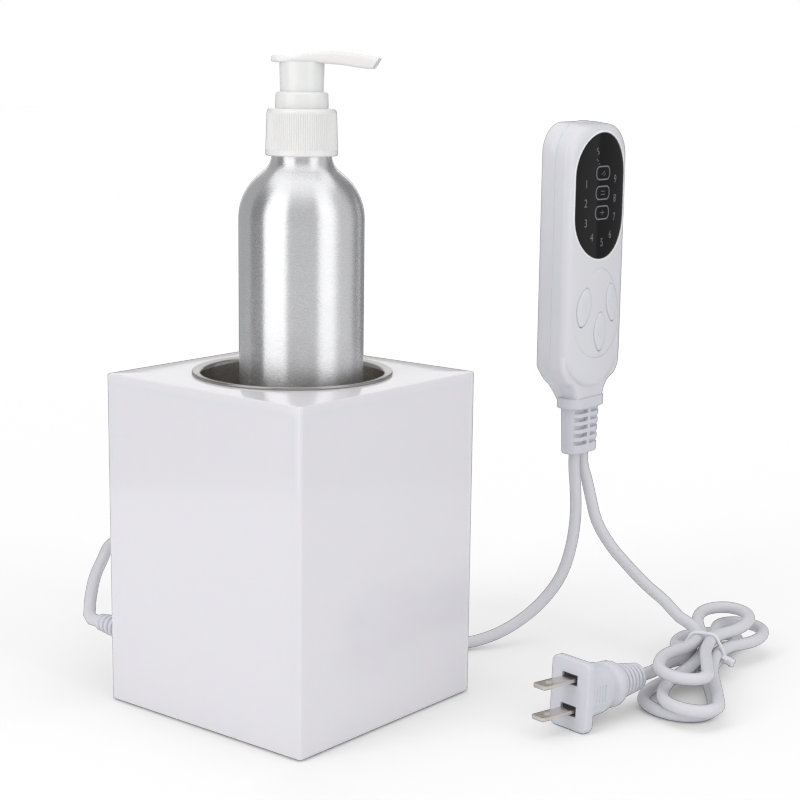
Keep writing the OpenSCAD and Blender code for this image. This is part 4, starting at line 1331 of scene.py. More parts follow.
@dataclass
class Pump:
    """Screw closure, lock ring and head of the pump."""

    bottle: Bottle
    closure_h: float = 18.1
    closure_r: float = 13.55
    flare: float = 0.6
    lid_up: float = 2.2
    lid: float = 1.6
    ribs: int = 96
    rib: float = 0.3
    bump: tuple = (0.0, 0.75, 1.0, 1.0, 0.75, 0.0)
    hole_r: float = 10.2
    bore_r: float = 12.0
    ridge_r: float = 10.95
    ring_r: float = 10.5
    ring_bore: float = 8.9
    ring_h: float = 6.4
    travel: float = 10.5
    head_up: float = 8.0
    head_gap: float = 0.5
    heading: float = -60.0
    sides: int = 32
    skirt_low: float = -13.8
    stations: tuple = (
        # reach, foot, top, half width
        (-11.6, 0.5, 1.9, 3.2), (-11.2, 0.2, 2.5, 4.6), (-10.3, 0.02, 3.0, 6.0),
        (-8.6, 0, 2.85, 7.2), (-6.4, 0, 2.5, 7.8), (-4.0, 0, 2.35, 8.0),
        (-1.0, 0, 2.75, 7.85), (2.0, 0, 3.45, 7.5), (5.0, -0.05, 3.98, 7.1),
        (8.6, -0.2, 4.42, 6.7), (12.0, -0.42, 4.68, 6.3), (16.3, -0.7, 4.42, 5.8),
        (20.0, -1.25, 4.08, 5.35), (23.5, -1.72, 3.55, 4.95), (26.2, -2.05, 3.1, 4.65),
        (28.3, -2.1, 2.75, 4.4))
    spring_wire: float = 0.4
    spring_r: float = 3.95
    spring_turns: float = 8.0

    def stack(self) -> tuple[float, float, float, float]:
        """Works out the pump's heights.

        Returns:
            Under the closure's top, its top, the ring's top and the skirt's top.
        """
        under = self.bottle.heights()[3] + self.lid_up
        return (under, under + self.lid, under + self.lid + self.ring_h,
                under + self.head_up + self.travel + self.head_gap)

    def closure(self) -> None:
        """The ribbed closure with its inner thread."""
        under, top, _, _ = self.stack()
        foot, n, rib = top - self.closure_h, self.ribs * len(self.bump), self.rib
        at = self.bottle.at
        rings = []
        levels = [(foot, 0.25, 0.0), (foot + 0.35, 0.0, 0.0), (foot + 2.0, 0.0, 0.0),
                  (foot + 2.5, 0.0, 1.0), (top - 2.2, 0.0, 1.0), (top - 1.7, 0.02, 0.25),
                  (top - 1.1, 0.08, 0.0), (top - 0.5, 0.25, 0.0), (top - 0.15, 0.55, 0.0),
                  (top, 1.1, 0.0)]
        for z, inset, rise in levels:
            base = self.closure_r + self.flare * (top - z) / self.closure_h - rib - inset
            ring = []
            for k in range(n):
                w, bump = 2 * math.pi * k / n, self.bump[k % len(self.bump)]
                r = base + (rib if rise == 0.0 and inset == 0.0 and z < foot + 2.2 else
                            rib * rise * bump + (rib * 0.7 if rise < 1 else 0))
                ring.append((at[0] + r * math.cos(w), at[1] + r * math.sin(w), z))
            rings.append(ring)
        for r, z in ((self.hole_r, top), (self.hole_r, under), (self.bore_r, under),
                     (self.bore_r, foot + 0.2), (self.bore_r + 0.3, foot)):
            rings.append([(at[0] + r * math.cos(2 * math.pi * k / n),
                           at[1] + r * math.sin(2 * math.pi * k / n), z) for k in range(n)])
        shell = loft("closure_shell", rings, 40, True)
        low = self.bottle.heights()[3] - self.bottle.thread_down - self.bottle.pitch / 2
        inner = self.bottle.ridge(self.bore_r, self.ridge_r, low, 1, -1)
        cap = merge("closure_piece", [shell, inner])
        settle(cap, PUMP_WHITE, "closure", "pump_plastic", "pump_closure")

    def ring(self) -> None:
        """The lock ring above the closure."""
        under, low, top, _ = self.stack()
        r, bore = self.ring_r, self.ring_bore
        outline = [(bore, under), (self.hole_r - 0.35, under), (self.hole_r - 0.35, low),
                   (r - 0.15, low), (r, low + 0.2), (r - 0.12, top - 1.6),
                   *arc(r - 1.3, top - 1.2, 1.15, 10, 90, 6), (bore + 0.25, top),
                   (bore, top - 0.25)]
        ring = lathe("lock_ring_piece", outline, self.bottle.at, 96, 40)
        settle(ring, PUMP_WHITE, "pump", "pump_plastic", "pump_lock_ring")

    def section(self, u: float, foot: float, top: float, half: float,
                slant: float = 0.0) -> list[Point]:
        """A soft-cornered section of the spout.

        Args:
            u: Its distance from the head's axis.
            foot: Height of its foot.
            top: Height of its top.
            half: Half its width.
            slant: How far its top leans outward.

        Returns:
            The closed ring.
        """
        out = []
        for k in range(self.sides):
            w = 2 * math.pi * k / self.sides
            c, s = math.cos(w), math.sin(w)
            v = math.copysign(abs(c) ** 0.42, c) * half
            h = math.copysign(abs(s) ** 0.5, s)
            z = (foot + top) / 2 + h * (top - foot) / 2
            out.append((u + slant * (h + 1) / 2, v, z))
        return out

    def head(self) -> None:
        """The head: skirt, thumb pad and down-turned spout."""
        z0, n, tip = self.stack()[3], self.sides, self.stations[-1][0]
        rings = [self.section(*station) for station in self.stations]
        rings.append(self.section(tip, -2.1, 2.1, 4.25, 2.5))
        for r, push in ((1.5, 0.0), (1.3, 0.5), (1.2, 4.0)):
            rings.append([(tip + 1.2 - push + 0.35 * math.sin(2 * math.pi * k / n) * r,
                           r * math.cos(2 * math.pi * k / n),
                           -0.05 + r * math.sin(2 * math.pi * k / n)) for k in range(n)])
        spout = loft("spout", rings, 45)
        place = (Matrix.Translation(Vector((*self.bottle.at[:2], z0)) * MM)
                 @ Matrix.Rotation(math.radians(self.heading), 4, "Z"))
        spout.data.transform(place)
        foot = self.skirt_low
        outline = [(8.4, foot), (8.75, -3.0), (8.85, 0.5), (3.2, 0.5), (3.05, -4.3),
                   (3.05, foot), (4.6, foot), (4.6, -1.6), (7.3, -1.6), (7.3, foot)]
        skirt = lathe("skirt", outline, (self.bottle.at[0], self.bottle.at[1], z0), 96, 40)
        head = merge("pump_head_piece", [spout, skirt])
        settle(head, PUMP_WHITE, "head", "pump_plastic", "pump_head")

    def spring(self) -> None:
        """The return spring, swept over the CAD spring's height."""
        (_, _, low), (_, _, high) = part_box("pump_spring")
        wire, coil, turns = self.spring_wire, self.spring_r, self.spring_turns
        foot, rise = low / MM + wire, (high - low) / MM - 2 * wire
        path = []
        steps = round(turns * 20)
        for k in range(steps + 1):
            w, t = 2 * math.pi * turns * k / steps, k / steps
            ends = t - 0.09 * math.sin(2 * math.pi * t)
            path.append(Vector((self.bottle.at[0] + coil * math.cos(w),
                                self.bottle.at[1] + coil * math.sin(w), foot + rise * ends)))
        spring = sweep("pump_spring_piece", path, wire, 10)
        settle(spring, PLATED_STEEL, "pump", "bright_steel", "pump_spring")
        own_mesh(spring)

    def build(self) -> None:
        """Builds the pump's outer pieces and its spring."""
        self.closure()
        self.ring()
        self.head()
        self.spring()
        log.info("pump, skirt top %.1f", self.stack()[3])


# ---------------------------------------------------------------- controller


class Leaf(Enum):
    """The three leaf-shaped buttons: place across, place up and lean."""

    LEFT = (-11.0, 43.0, -13.0)
    RIGHT = (11.0, 43.5, 12.0)
    LOWER = (1.5, 31.2, 0.0)


@dataclass
class Controller:
    """Hand controller: two shells, window, button pad and three buttons."""

    x: float = Leads.grip[0]
    z: float = 109.0
    front: float = -46.0
    seam: float = -36.0
    back: float = -28.6
    width: float = 46.0
    height: float = 123.7
    top_r: float = 16.0
    neck: float = 10.5
    flare_h: float = 17.0
    seam_in: float = 0.22
    seam_r: float = 0.25
    back_edge: tuple = ((0, 1.3), (0.09, 0.8), (0.35, 0.35), (0.75, 0.1), (1.3, 0.0))
    foot_reach: float = 15.0
    foot_lean: float = 0.4
    chin_z: float = 6.2
    chin_r: float = 27.0
    cheek_r: float = 9.0
    cheek_wide: float = 4.2
    cheek_deep: float = 3.4
    face_low: float = 26.0
    top_reach: float = 20.0
    top_lean: float = 0.12
    top_spread: float = 0.05
    shelf: float = -43.2
    shelf_edge: tuple = ((0.01, 2.4), (0.2, 1.3), (0.7, 0.5), (1.4, 0.1), (2.2, 0.0))
    crown_r: float = 121.0
    window_w: float = 38.5
    window_h: float = 56.0
    window_up: float = 91.7
    window_edge: tuple = ((0, 0.45), (0.1, 0.18), (0.32, 0.03), (0.6, 0.0))
    ledge: float = 2.4
    pad_up: float = 39.7
    pad_w: float = 17.6
    pad_h: float = 20.1
    pad_taper: float = 0.16
    pad_edge: tuple = ((0, 0.2), (0.08, 0.07), (0.2, 0.015), (0.36, 0.0))
    leaf_w: float = 9.6
    leaf_h: float = 17.6
    leaf_back: float = -41.1
    leaf_dome: tuple = (
        # share of the way inward, height above the face
        (0.0, -0.3), (0.02, 0.02), (0.06, 0.2), (0.13, 0.3), (0.4, 0.32), (0.7, 0.33),
        (0.97, 0.33))
    flange: Flat = (-41.2, -40.3)
    stem: Flat = (-40.5, -38.9)
    stem_r: float = 1.5
    ahead: float = -60.0
    seat: float = -42.9
    inner: float = -36.5
    shell: float = 2.0
    digits: tuple = (
        # across, up
        (-12.2, 97.2), (-12.3, 88.8), (-11.9, 80.1), (-7.4, 73.6), (0.3, 71.1), (7.2, 74.2),
        (10.4, 81.8), (10.4, 90.1), (10.3, 98.6))
    digit_size: float = 5.1
    frames: tuple = (
        # height, the lines of the sign inside
        (101.8, ((-1.4, -0.8, 1.2, 0.9), (0.4, -1.2, 1.8, -0.2))),
        (93.1, ((-1.6, -0.7, 1.6, -0.7), (-1.6, 0.7, 1.6, 0.7))),
        (84.4, ((-1.8, 0.0, 1.8, 0.0), (0.0, -1.2, 0.0, 1.2))))
    frame_size: tuple = (10.4, 5.7, 2.3, 0.5)
    print_up: float = 0.03
    sign_up: float = 0.27
    grip_y: float = Leads.grip[1]
    grip_foot: float = Leads.grip[2]
    grip_size: Point = (17.4, 8.4, 4.19)
    slot_rows: int = 5
    slot_step: float = 3.62
    slot_half: float = 0.95

    def crown(self, x: float) -> float:
        """Depth of the crowned face at x across the middle."""
        return self.front + self.crown_r - math.sqrt(self.crown_r**2 - x * x)

    def at(self, x: float, up: float, lift: float = 0.0) -> Vector:
        """A point on the crowned face.

        Args:
            x: Across from the middle.
            up: Up from the controller's foot.
            lift: How far it stands proud of the face.

        Returns:
            The point in the row frame.
        """
        return Vector((self.x + x, self.crown(x) - lift, self.z + up))

    def ring(self, outline: list[Flat], y: float) -> list[Point]:
        """The outline in the row frame, at depth y."""
        return [(self.x + x, y, self.z + up) for x, up in outline]

    def over_top(self, inset: float, low: float, round_r: float = 16.0,
                 fine: int = 12) -> list[Flat]:
        """The outline from its right side at height low, over the top, to its left side.

        Args:
            inset: Distance drawn in.
            low: Height at which the straight sides start.
            round_r: Radius of the upper corners.
            fine: Steps in each corner.

        Returns:
            The open line.
        """
        w, r, high = self.width / 2, round_r, self.height - round_r
        side = [(w - inset, low + (high - low) * k / 10) for k in range(1, 10)]
        other = [(-x, z) for x, z in reversed(side)]
        return (side + arc(w - r, high, r - inset, 0, 90, fine)
                + arc(r - w, high, r - inset, 90, 180, fine) + other)

    def flare(self, inset: float, soft: float = 0.0, fine: int = 10) -> list[Flat]:
        """The lower outline, left to right: both sides sweep in to the neck.

        Args:
            inset: Distance drawn in.
            soft: From 0 for two full arcs to 1 for a straight slope.
            fine: Steps in each arc.

        Returns:
            The open line.
        """
        wide = self.width / 2 - self.neck
        a = 2 * math.degrees(math.atan(wide / self.flare_h))
        r = self.flare_h / math.sin(math.radians(a)) / 2
        low = math.degrees(math.asin(inset / (r + inset)))
        out, hollow = self.width / 2 - r, self.neck + r
        line = (arc(-out, self.flare_h, r - inset, 180, 180 + a, fine)
                + arc(-hollow, 0, r + inset, a, low, fine)
                + arc(hollow, 0, r + inset, 180 - low, 180 - a, fine)
                + arc(out, self.flare_h, r - inset, 360 - a, 360, fine))
        slope = []
        for x, up in line:
            straight = self.neck + wide * min(up / self.flare_h, 1) - inset
            slope.append((x + (math.copysign(straight, x) - x) * soft, up))
        return slope

    def outline(self, inset: float, soft: float = 0.4, round_r: float = 16.0) -> list[Flat]:
        """The shells' outline, drawn in by inset, up from the controller's foot."""
        return self.flare(inset, soft) + self.over_top(inset, self.flare_h, round_r)

    def face_outline(self, inset: float) -> list[Flat]:
        """Outline of the raised face: a wide arc below, tangent to its corners.

        Args:
            inset: Distance drawn in.

        Returns:
            The closed outline, up from the controller's foot.
        """
        x, far = self.width / 2 - self.cheek_r, self.chin_r - self.cheek_r
        drop = math.sqrt(far * far - x * x)
        z, r = self.chin_z + self.chin_r, self.cheek_r - inset
        a = math.degrees(math.atan(drop / x))
        return (arc(-x, z - drop, r, 180, 180 + a, 6)
                + arc(0, z, self.chin_r - inset, 180 + a, 360 - a, 28)
                + arc(x, z - drop, r, 360 - a, 360, 6) + self.over_top(inset, z - drop))

    @staticmethod
    def spine(p: Flat, low: float, high: float) -> Flat:
        """The point of the middle line, from low to high, nearest to p."""
        return 0.0, min(max(p[1], low), high)

    def face_rings(self, edge: list[Flat], low: float, high: float, drop: float,
                   steps: int = 8) -> list[list[Vector]]:
        """Rings that close a crowned face inward from its edge.

        Args:
            edge: The face's edge.
            low: Lower end of its middle line.
            high: Upper end of its middle line.
            drop: How far the face lies under the crown.
            steps: Number of rings.

        Returns:
            The rings, the last one almost on the middle line.
        """
        rings = []
        for k in range(steps + 1):
            t = min(k / steps, 0.995)
            ring = []
            for p in edge:
                cx, cz = self.spine(p, low, high)
                ring.append(self.at(p[0] + (cx - p[0]) * t, p[1] + (cz - p[1]) * t, -drop))
            rings.append(ring)
        return rings

    def leaf_outline(self, leaf: Leaf, grow: float, n: int = 48) -> list[Flat]:
        """Outline of a button.

        Args:
            leaf: Which button.
            grow: How much larger than the button.
            n: Number of points.

        Returns:
            The closed outline, up from the controller's foot.
        """
        cx, cz, lean = leaf.value
        c, s = math.cos(math.radians(lean)), math.sin(math.radians(lean))
        out = []
        for k in range(n):
            w = 2 * math.pi * k / n
            u = (self.leaf_w / 2 + grow) * math.cos(w) * (1 - 0.25 * math.sin(w) ** 2)
            v = (self.leaf_h / 2 + grow) * math.sin(w)
            out.append((cx + u * c - v * s, cz + u * s + v * c))
        return out

    def window_outline(self, grow: float, n: int = 24) -> list[Flat]:
        """Outline of the window.

        Args:
            grow: How much larger than the window.
            n: Steps in each half circle.

        Returns:
            The closed outline, up from the controller's foot.
        """
        r = self.window_w / 2 + grow
        reach = (self.window_h - self.window_w) / 2
        out = arc(0, self.window_up + reach, r, 0, 180, n)
        out += [(-r, self.window_up + reach - 2 * reach * k / 6) for k in range(1, 6)]
        out += arc(0, self.window_up - reach, r, 180, 360, n)
        out += [(r, self.window_up - reach + 2 * reach * k / 6) for k in range(1, 6)]
        return out

    def pad_outline(self, grow: float, n: int = 72) -> list[Flat]:
        """Outline of the button pad.

        Args:
            grow: How much larger than the pad.
            n: Number of points.

        Returns:
            The closed outline, up from the controller's foot.
        """
        out = []
        for k in range(n):
            w = 2 * math.pi * k / n
            out.append(((self.pad_w + grow) * math.cos(w) * (1 - self.pad_taper * math.sin(w)),
                        self.pad_up + (self.pad_h + grow) * math.sin(w)))
        return out

    def block(self, name: str, outline: list[Flat], y0: float, y1: float) -> bpy.types.Object:
        """A straight block through the controller, used to cut it."""
        return loft(name, [self.ring(outline, y) for y in (y0, y1)])

    def back_skin(self, name: str, inset: float) -> bpy.types.Object:
        """A solid with the back shell's outer or inner shape.

        Args:
            name: The object's name.
            inset: How far inside the outer shape it lies.

        Returns:
            The closed solid.
        """
        seam = [(self.seam_in, self.seam), (0, self.seam + self.seam_r)]
        if inset:
            seam = [(0, self.seam - 1)]
        depth, rings = self.back - inset, []
        for d, y in (*seam, (0, self.seam + 1.5), (0, self.seam + 3),
                     *[(d, depth - drop) for d, drop in self.back_edge]):
            k = min(max((y - self.seam) / 3, 0), 1)
            edge = self.outline(inset + d, 0.4 + 0.3 * k, self.top_r - 2.5 * k)
            rings.append(self.ring(edge, y))
        solid = loft(name, rings, 40)
        for v in solid.data.vertices:
            near = min(max(1 - (v.co.z / MM - self.z) / self.foot_reach, 0), 1)
            v.co.y -= self.foot_lean * near * max(v.co.y - self.seam * MM, 0)
        return solid

    def front_skin(self, name: str, inset: float) -> bpy.types.Object:
        """A solid with the front shell's outer or inner shape, without its neck.

        Args:
            name: The object's name.
            inset: How far inside the outer shape it lies.

        Returns:
            The closed solid.
        """
        seam = [(self.seam_in, self.seam), (0, self.seam - self.seam_r)]
        if inset:
            seam = [(0, self.seam + 1)]
        rings = [self.ring(self.face_outline(inset + d), y) for d, y in seam]
        steps = 7
        for k in range(steps + 1):
            w = math.radians(90 * k / steps)
            d, e = self.cheek_wide * (1 - math.cos(w)), self.cheek_deep * (1 - math.sin(w))
            rings.append([self.at(x, up, -e - inset) for x, up in self.face_outline(inset + d)])
        rings += self.face_rings(self.face_outline(inset + self.cheek_wide), self.face_low,
                                 self.height - self.top_r, inset)[1:]
        solid = loft(name, rings, 40)
        top = (self.z + self.height) * MM
        for v in solid.data.vertices:
            near = min(max(1 - (top - v.co.z) / (self.top_reach * MM), 0), 1) ** 2
            far = max(self.seam * MM - v.co.y, 0)
            v.co.z -= self.top_lean * far * near
            v.co.x += (self.top_spread * far * near * (self.x * MM - v.co.x)
                       / (self.width / 2 * MM))
        return solid

    def neck_block(self) -> bpy.types.Object:
        """The flared neck that stands behind the raised face's lower end.

        Returns:
            The closed solid.
        """
        rings = []
        for inset, y in ((self.seam_in, self.seam), (0.01, self.seam - self.seam_r),
                         *[(d, self.shelf + up) for d, up in self.shelf_edge]):
            w = self.width / 2 - inset
            soft = 0.4 * min(max((y - self.shelf) / (self.seam - self.shelf), 0), 1)
            edge = [*self.flare(inset, soft), (w, 21.5), (w - 4, 27), (0, 29), (4 - w, 27),
                    (-w, 21.5)]
            rings.append(self.ring(edge, y))
        for t in (0.3, 0.6, 0.9, 0.99):
            rings.append([(self.x + x * (1 - t), self.shelf, self.z + up + (20 - up) * t)
                          for x, up in edge])
        return loft("neck", rings, 40)

    def shells(self) -> None:
        """The front and back shells."""
        front = self.front_skin("front_shell_piece", 0)
        carve(front, [], [self.neck_block()])
        inside = self.front_skin("inside", self.shell)
        grip = rounded(*self.grip_size, 6)
        slot = prism("slot", grip, -5, 6, Matrix.Translation((self.x, self.grip_y, self.z)))
        cutters = [inside, self.block("cut", self.window_outline(0), self.ahead, self.seat),
                   self.block("cut", self.window_outline(-self.ledge), self.ahead, self.inner),
                   self.block("cut", self.pad_outline(0), self.ahead, self.seat), slot]
        cutters += [self.block("cut", self.leaf_outline(leaf, 0.4), self.ahead, self.inner)
                    for leaf in Leaf]
        carve(front, cutters)
        # The rim round the window is coloured brighter than the shell: painted highlight on the
        # window's edge.
        highlight_rim = sweep("window_bezel", [self.at(x, up, -0.28) for x, up in
                                       self.window_outline(0.3)], 0.46, 10, True)
        settle(highlight_rim, PAINTED_HIGHLIGHT_RIM, "warmer", "shell_plastic")
        back = self.back_skin("back_shell_piece", 0)
        slot = prism("slot", grip, -5, 6, Matrix.Translation((self.x, self.grip_y, self.z)))
        hump = lathe("hump", [(0, -0.6), (3.6, -0.6), (3.2, 0.15), (2.2, 0.42), (0.8, 0.55),
                              (0, 0.56)], steps=32)
        place = Matrix.Translation(Vector((self.x + 1.5, self.seam + 2.6,
                                           self.z + self.height)) * MM)
        hump.data.transform(place @ Matrix.Diagonal((1.5, 0.55, 1, 1)))
        carve(back, [self.back_skin("inside", self.shell), slot], [hump])
        for piece, node in ((front, "controller_front"), (back, "controller_back")):
            settle(piece, SHELL_WHITE, "warmer", "shell_plastic", node)

    def inlay(self, name: str, outline: list[Flat], low: float, high: float, floor: float,
              edge: tuple[Flat, ...]) -> bpy.types.Object:
        """A crowned inlay with a softened edge.

        Args:
            name: The object's name.
            outline: Its edge.
            low: Lower end of its middle line.
            high: Upper end of its middle line.
            floor: Depth of its flat back.
            edge: Pairs of distance inward and drop that round its edge.

        Returns:
            The closed piece.
        """
        rings = [self.ring(outline, floor)]
        for inset, drop in edge:
            ring = []
            for x, up in outline:
                cx, cz = self.spine((x, up), low, high)
                d = max(math.dist((x, up), (cx, cz)), 1e-6)
                k = inset / d
                ring.append(self.at(x + (cx - x) * k, up + (cz - up) * k, -drop))
            rings.append(ring)
        last = [(p.x - self.x, p.z - self.z) for p in rings[-1]]
        rings += self.face_rings(last, low, high, 0.0, 6)[1:]
        return loft(name, rings, 40)

    def window(self) -> None:
        """The black window with its printed numbers and frames."""
        reach = (self.window_h - self.window_w) / 2
        glass = self.inlay("window_piece", self.window_outline(-0.15), self.window_up - reach,
                           self.window_up + reach, self.seat, self.window_edge)
        settle(glass, WINDOW_BLACK, "warmer", "window_black", "display_window")
        marks = []
        for n, (x, up) in enumerate(self.digits, 1):
            marks.append(self.figure(str(n), x, up, self.digit_size))
        for up, _ in self.frames:
            marks.append(self.frame_mark(0.0, up, *self.frame_size))
        marks += self.glyphs()
        prints = merge("window_print", marks)
        settle(prints, PRINT_GREY, "warmer", "window_black")

    def figure(self, text: str, x: float, up: float, size: float) -> bpy.types.Object:
        """One printed numeral, laid on the crowned window.

        Args:
            text: The numeral.
            x: Its middle across.
            up: Its middle up from the controller's foot.
            size: Its height.

        Returns:
            The flat numeral.
        """
        curve = bpy.data.curves.new("figure", "FONT")
        curve.body = text
        curve.size = size
        curve.offset = -0.058
        curve.align_x, curve.align_y = "CENTER", "CENTER"
        obj = bpy.data.objects.new("figure", curve)
        bpy.context.scene.collection.objects.link(obj)
        bpy.context.view_layer.update()
        ready = obj.evaluated_get(bpy.context.evaluated_depsgraph_get())
        mesh = bpy.data.meshes.new_from_object(ready)
        verts = [self.at(x + v.co.x * 0.92, up + v.co.y, self.print_up)
                 for v in mesh.vertices]
        faces = [list(p.vertices) for p in mesh.polygons]
        bpy.data.objects.remove(obj)
        return make("figure", verts, faces)

    def ribbon(self, outline: list[Flat], width: float, closed: bool) -> bpy.types.Object:
        """A flat printed line on the crowned window.

        Args:
            outline: The line's middle.
            width: Its width.
            closed: True if it closes on itself.

        Returns:
            The flat ribbon.
        """
        fine = []
        ends = list(zip(outline, outline[1:] + outline[:1]))
        for (x0, z0), (x1, z1) in ends if closed else ends[:-1]:
            cuts = max(1, round(math.dist((x0, z0), (x1, z1)) / 0.6))
            fine += [(x0 + (x1 - x0) * c / cuts, z0 + (z1 - z0) * c / cuts)
                     for c in range(cuts)]
        outline = fine if closed else [*fine, outline[-1]]
        n = len(outline)
        verts, faces = [], []
        for i, (x, up) in enumerate(outline):
            a = outline[(i - 1) % n] if closed or i else outline[0]
            b = outline[(i + 1) % n] if closed or i < n - 1 else outline[n - 1]
            dx, dz = b[0] - a[0], b[1] - a[1]
            k = width / 2 / max(math.hypot(dx, dz), 1e-9)
            for s in (-1, 1):
                verts.append(self.at(x - s * dz * k, up + s * dx * k, self.print_up))
        for i in range(n if closed else n - 1):
            j = (i + 1) % n
            faces.append([2 * i, 2 * j, 2 * j + 1, 2 * i + 1])
        return make("line", verts, faces)

    def frame_mark(self, x: float, up: float, w: float, h: float, r: float,
                   line: float) -> bpy.types.Object:
        """A printed rounded frame."""
        shape = [(x + u, up + v) for u, v in rounded(w, h, r, 6)]
        return self.ribbon(shape, line, True)

    def glyphs(self) -> list[bpy.types.Object]:
        """Small plain signs inside and above the frames.

        Returns:
            The flat signs.
        """
        out = []
        for up, signs in self.frames:
            for x0, z0, x1, z1 in signs:
                out.append(self.ribbon([(x0, up + z0), (x1, up + z1)], 0.2, False))
        wave = [(-4.6 + 0.9 * math.sin(k * math.pi / 4), 110.0 + 0.36 * k) for k in range(9)]
        out.append(self.ribbon(wave, 0.34, False))
        for x, up in ((-5.4, 107.6), (-4.6, 107.0), (-3.6, 105.7)):
            out.append(self.ribbon([(x, up), (x + 0.5, up + 0.3)], 0.34, False))
        return out

    def pad(self) -> None:
        """The oval pad and its three buttons with raised signs."""
        pad = self.inlay("pad_piece", self.pad_outline(-0.04), self.pad_up - 4,
                         self.pad_up + 4, self.seat, self.pad_edge)
        for leaf in Leaf:
            gap = [(x - 0.2, up - 0.1) for x, up in self.leaf_outline(leaf, 0.27)]
            carve(pad, [self.block("cut", gap, self.ahead, self.inner)])
        settle(pad, SHELL_WHITE, "warmer", "shell_plastic", "button_pad")
        for leaf in Leaf:
            cx, cz, _ = leaf.value
            cap = self.leaf_cap(leaf)
            flange = self.block("flange", self.leaf_outline(leaf, 0.9), *self.flange)
            stem = self.block("stem", arc(cx, cz, self.stem_r, 0, 345, 23), *self.stem)
            name = "button_" + leaf.name.lower()
            button = merge(name + "_piece", [cap, flange, stem, *self.signs(leaf)])
            settle(button, SHELL_WHITE, name, "shell_plastic", name)

    def leaf_cap(self, leaf: Leaf) -> bpy.types.Object:
        """The domed cap of a button.

        Args:
            leaf: Which button.

        Returns:
            The closed cap.
        """
        cx, cz, _ = leaf.value
        outline = self.leaf_outline(leaf, 0)
        rings = [self.ring(outline, self.leaf_back)]
        for t, lift in self.leaf_dome:
            rings.append([self.at(x + (cx - x) * t, up + (cz - up) * t, lift)
                          for x, up in outline])
        return loft("cap", rings, 40)

    def raised(self, points: list[Flat], radius: float) -> bpy.types.Object:
        """A raised line on a button."""
        path = [self.at(x, up, self.sign_up) for x, up in points]
        return sweep("sign", path, radius, 8)

    def signs(self, leaf: Leaf) -> list[bpy.types.Object]:
        """Plain raised signs on a button: warmth, up and down, or on and off.

        Args:
            leaf: Which button.

        Returns:
            The raised lines.
        """
        cx, cz, _ = leaf.value
        out = []
        if leaf is Leaf.LOWER:
            out.append(self.raised(arc(cx, cz, 2.2, 125, 415, 20), 0.16))
            out.append(self.raised([(cx, cz + 0.6), (cx, cz + 1.8), (cx, cz + 3.0)], 0.16))
        elif leaf is Leaf.LEFT:
            for k in (-1, 0, 1):
                wave = [(cx + 1.3 * k + 0.35 * math.sin(j * 0.8), cz - 2.4 + 0.6 * j)
                        for j in range(9)]
                out.append(self.raised(wave, 0.15))
        else:
            for up in (1, -1):
                arrow = [(cx - 1.3, cz + 1.2 * up), (cx, cz + 2.6 * up), (cx + 1.3, cz + 1.2 * up)]
                out.append(self.raised(arrow, 0.16))
        return out

    def relief_body(self, top: float, place: Matrix) -> bpy.types.Object:
        """The strain relief's flat body, which widens a little upward.

        Args:
            top: Height of its upper end.
            place: Its frame in millimetres.

        Returns:
            The closed body.
        """
        foot, rings = self.grip_foot, []
        for inset, z in ((0.7, foot), (0.25, foot + 0.15), (0, foot + 0.6), (0, top - 0.01)):
            t = (z - foot) / (top - foot)
            w, d = 19.9 + 1.7 * t - 2 * inset, 9.6 + 1.2 * t - 2 * inset
            rings.append([place @ Vector((x, y, z)) for x, y in
                          rounded(w, d, d / 2 - 0.01, 10)])
        return loft("relief_body", rings, 40)

    def relief_slots(self, top: float, place: Matrix) -> bpy.types.Object:
        """The rows of slots in the body's front and back.

        Args:
            top: Height of the body's upper end.
            place: The relief's frame in millimetres.

        Returns:
            All the slots as one object, to cut with.
        """
        slots = []
        for side in (-1, 1):
            for end in (-1, 1):
                for k in range(self.slot_rows):
                    z, y = top - 2.5 - self.slot_step * k, 3.2 - 0.1 * k
                    far = 12 if side < 0 else 6
                    edge = [(1.0, y), (far, y), (far, 8), (1.0, 8)]
                    edge = [(end * u, side * v) for u, v in edge]
                    slots.append(prism("slot", edge, z - self.slot_half,
                                       z + self.slot_half, place))
        return merge("slots", slots)

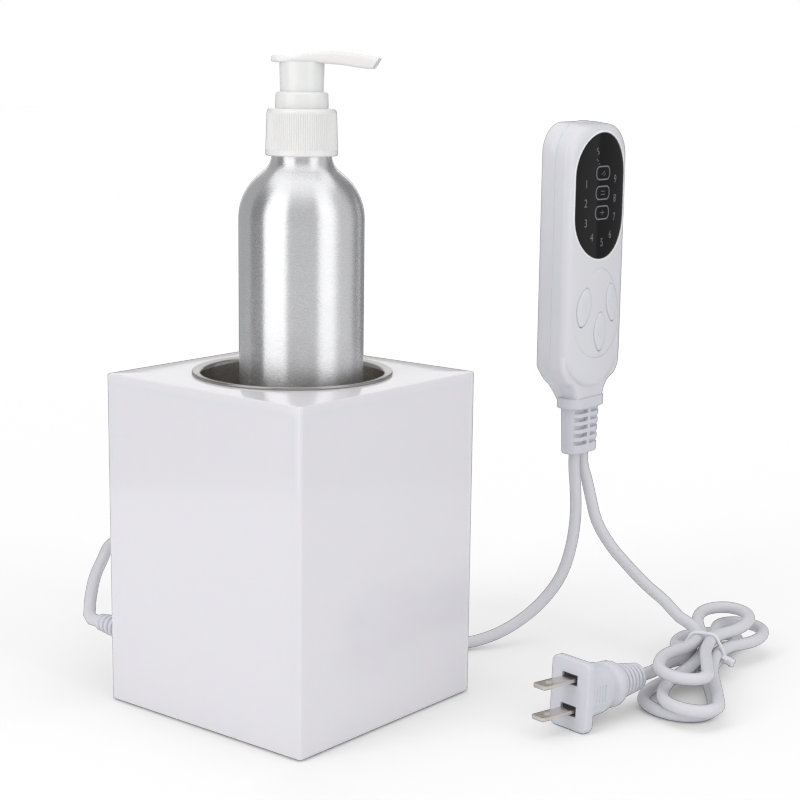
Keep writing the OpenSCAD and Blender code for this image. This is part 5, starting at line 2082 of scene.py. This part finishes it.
    def relief(self) -> None:
        """The strain relief under the controller: collar, slotted body and neck."""
        top = self.z - 2.5
        place = Matrix.Translation((self.x, self.grip_y, 0))
        collar = prism("collar", rounded(26.4, 13.0, 6.49, 10), top - 0.6, top + 3.7,
                       place)
        carve(collar, [self.block("cut", self.outline(1.6), self.shelf + 0.8, self.back)])
        body = self.relief_body(top, place)
        carve(body, [self.relief_slots(top, place)])
        neck = prism("neck", rounded(17, 8, 3.99, 8), top - 1, top + 7, place)
        relief = soften(merge("controller_relief", [collar, body, neck]), 0.3, 3, 50)
        settle(relief, RELIEF_WHITE, "warmer", "relief_white", "controller_strain_relief")

    def build(self) -> None:
        """Builds the controller."""
        self.shells()
        self.window()
        self.pad()
        self.relief()
        log.info("controller")


# ---------------------------------------------------------------- inner pieces


@dataclass
class InnerPieces:
    """CAD nodes that keep their shape and take a finish."""

    finishes: dict = field(default_factory=lambda: {
        "base_plate": INNER_PLASTIC, "corner_blocks": INNER_PLASTIC,
        "terminal_block": INNER_PLASTIC, "base_screws": PLATED_STEEL,
        "controller_screws": PLATED_STEEL, "inlet_ball": PLATED_STEEL,
        "temperature_probe": PLATED_STEEL, "well_clip_ring": PLATED_STEEL,
        "rubber_feet": BLACK_RUBBER, "well_mat": BLACK_RUBBER, "bottle_gasket": BLACK_RUBBER,
        "heater_band": HEATER_MICA, "insulation_sleeve": FELT, "thermal_cutoff": DARK_PLASTIC,
        "inner_leads": WIRE_RED, "pump_cylinder": NATURAL_PLASTIC,
        "stem_guide": NATURAL_PLASTIC, "pump_piston": NATURAL_PLASTIC,
        "pump_stem": NATURAL_PLASTIC, "dip_tube": NATURAL_PLASTIC,
        "circuit_board": BOARD_GREEN, "display_module": DARK_PLASTIC,
        "button_switches": DARK_PLASTIC, "board_relay": RELAY_AMBER,
    })

    def build(self, nodes: dict) -> None:
        """Dresses the nodes.

        Args:
            nodes: The frame's CAD nodes by name.
        """
        for name, finish in self.finishes.items():
            finish.dress(nodes[name])
        log.info("%d inner pieces dressed", len(self.finishes))


def corners(box: tuple) -> list[list[float]]:
    """Two corners as plain lists."""
    return [[float(v) for v in corner] for corner in box]


def main() -> None:
    """Builds the scene in order: studio, leads, warmer, bottle, pump, controller."""
    logging.basicConfig(level=logging.INFO, format="%(message)s")
    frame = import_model()
    Studio().build()
    Leads().build(Plug())
    Warmer().build()
    bottle = Bottle()
    bottle.build()
    Pump(bottle).build()
    Controller().build()
    InnerPieces().build(frame["nodes"])


if __name__ == "__main__":
    main()
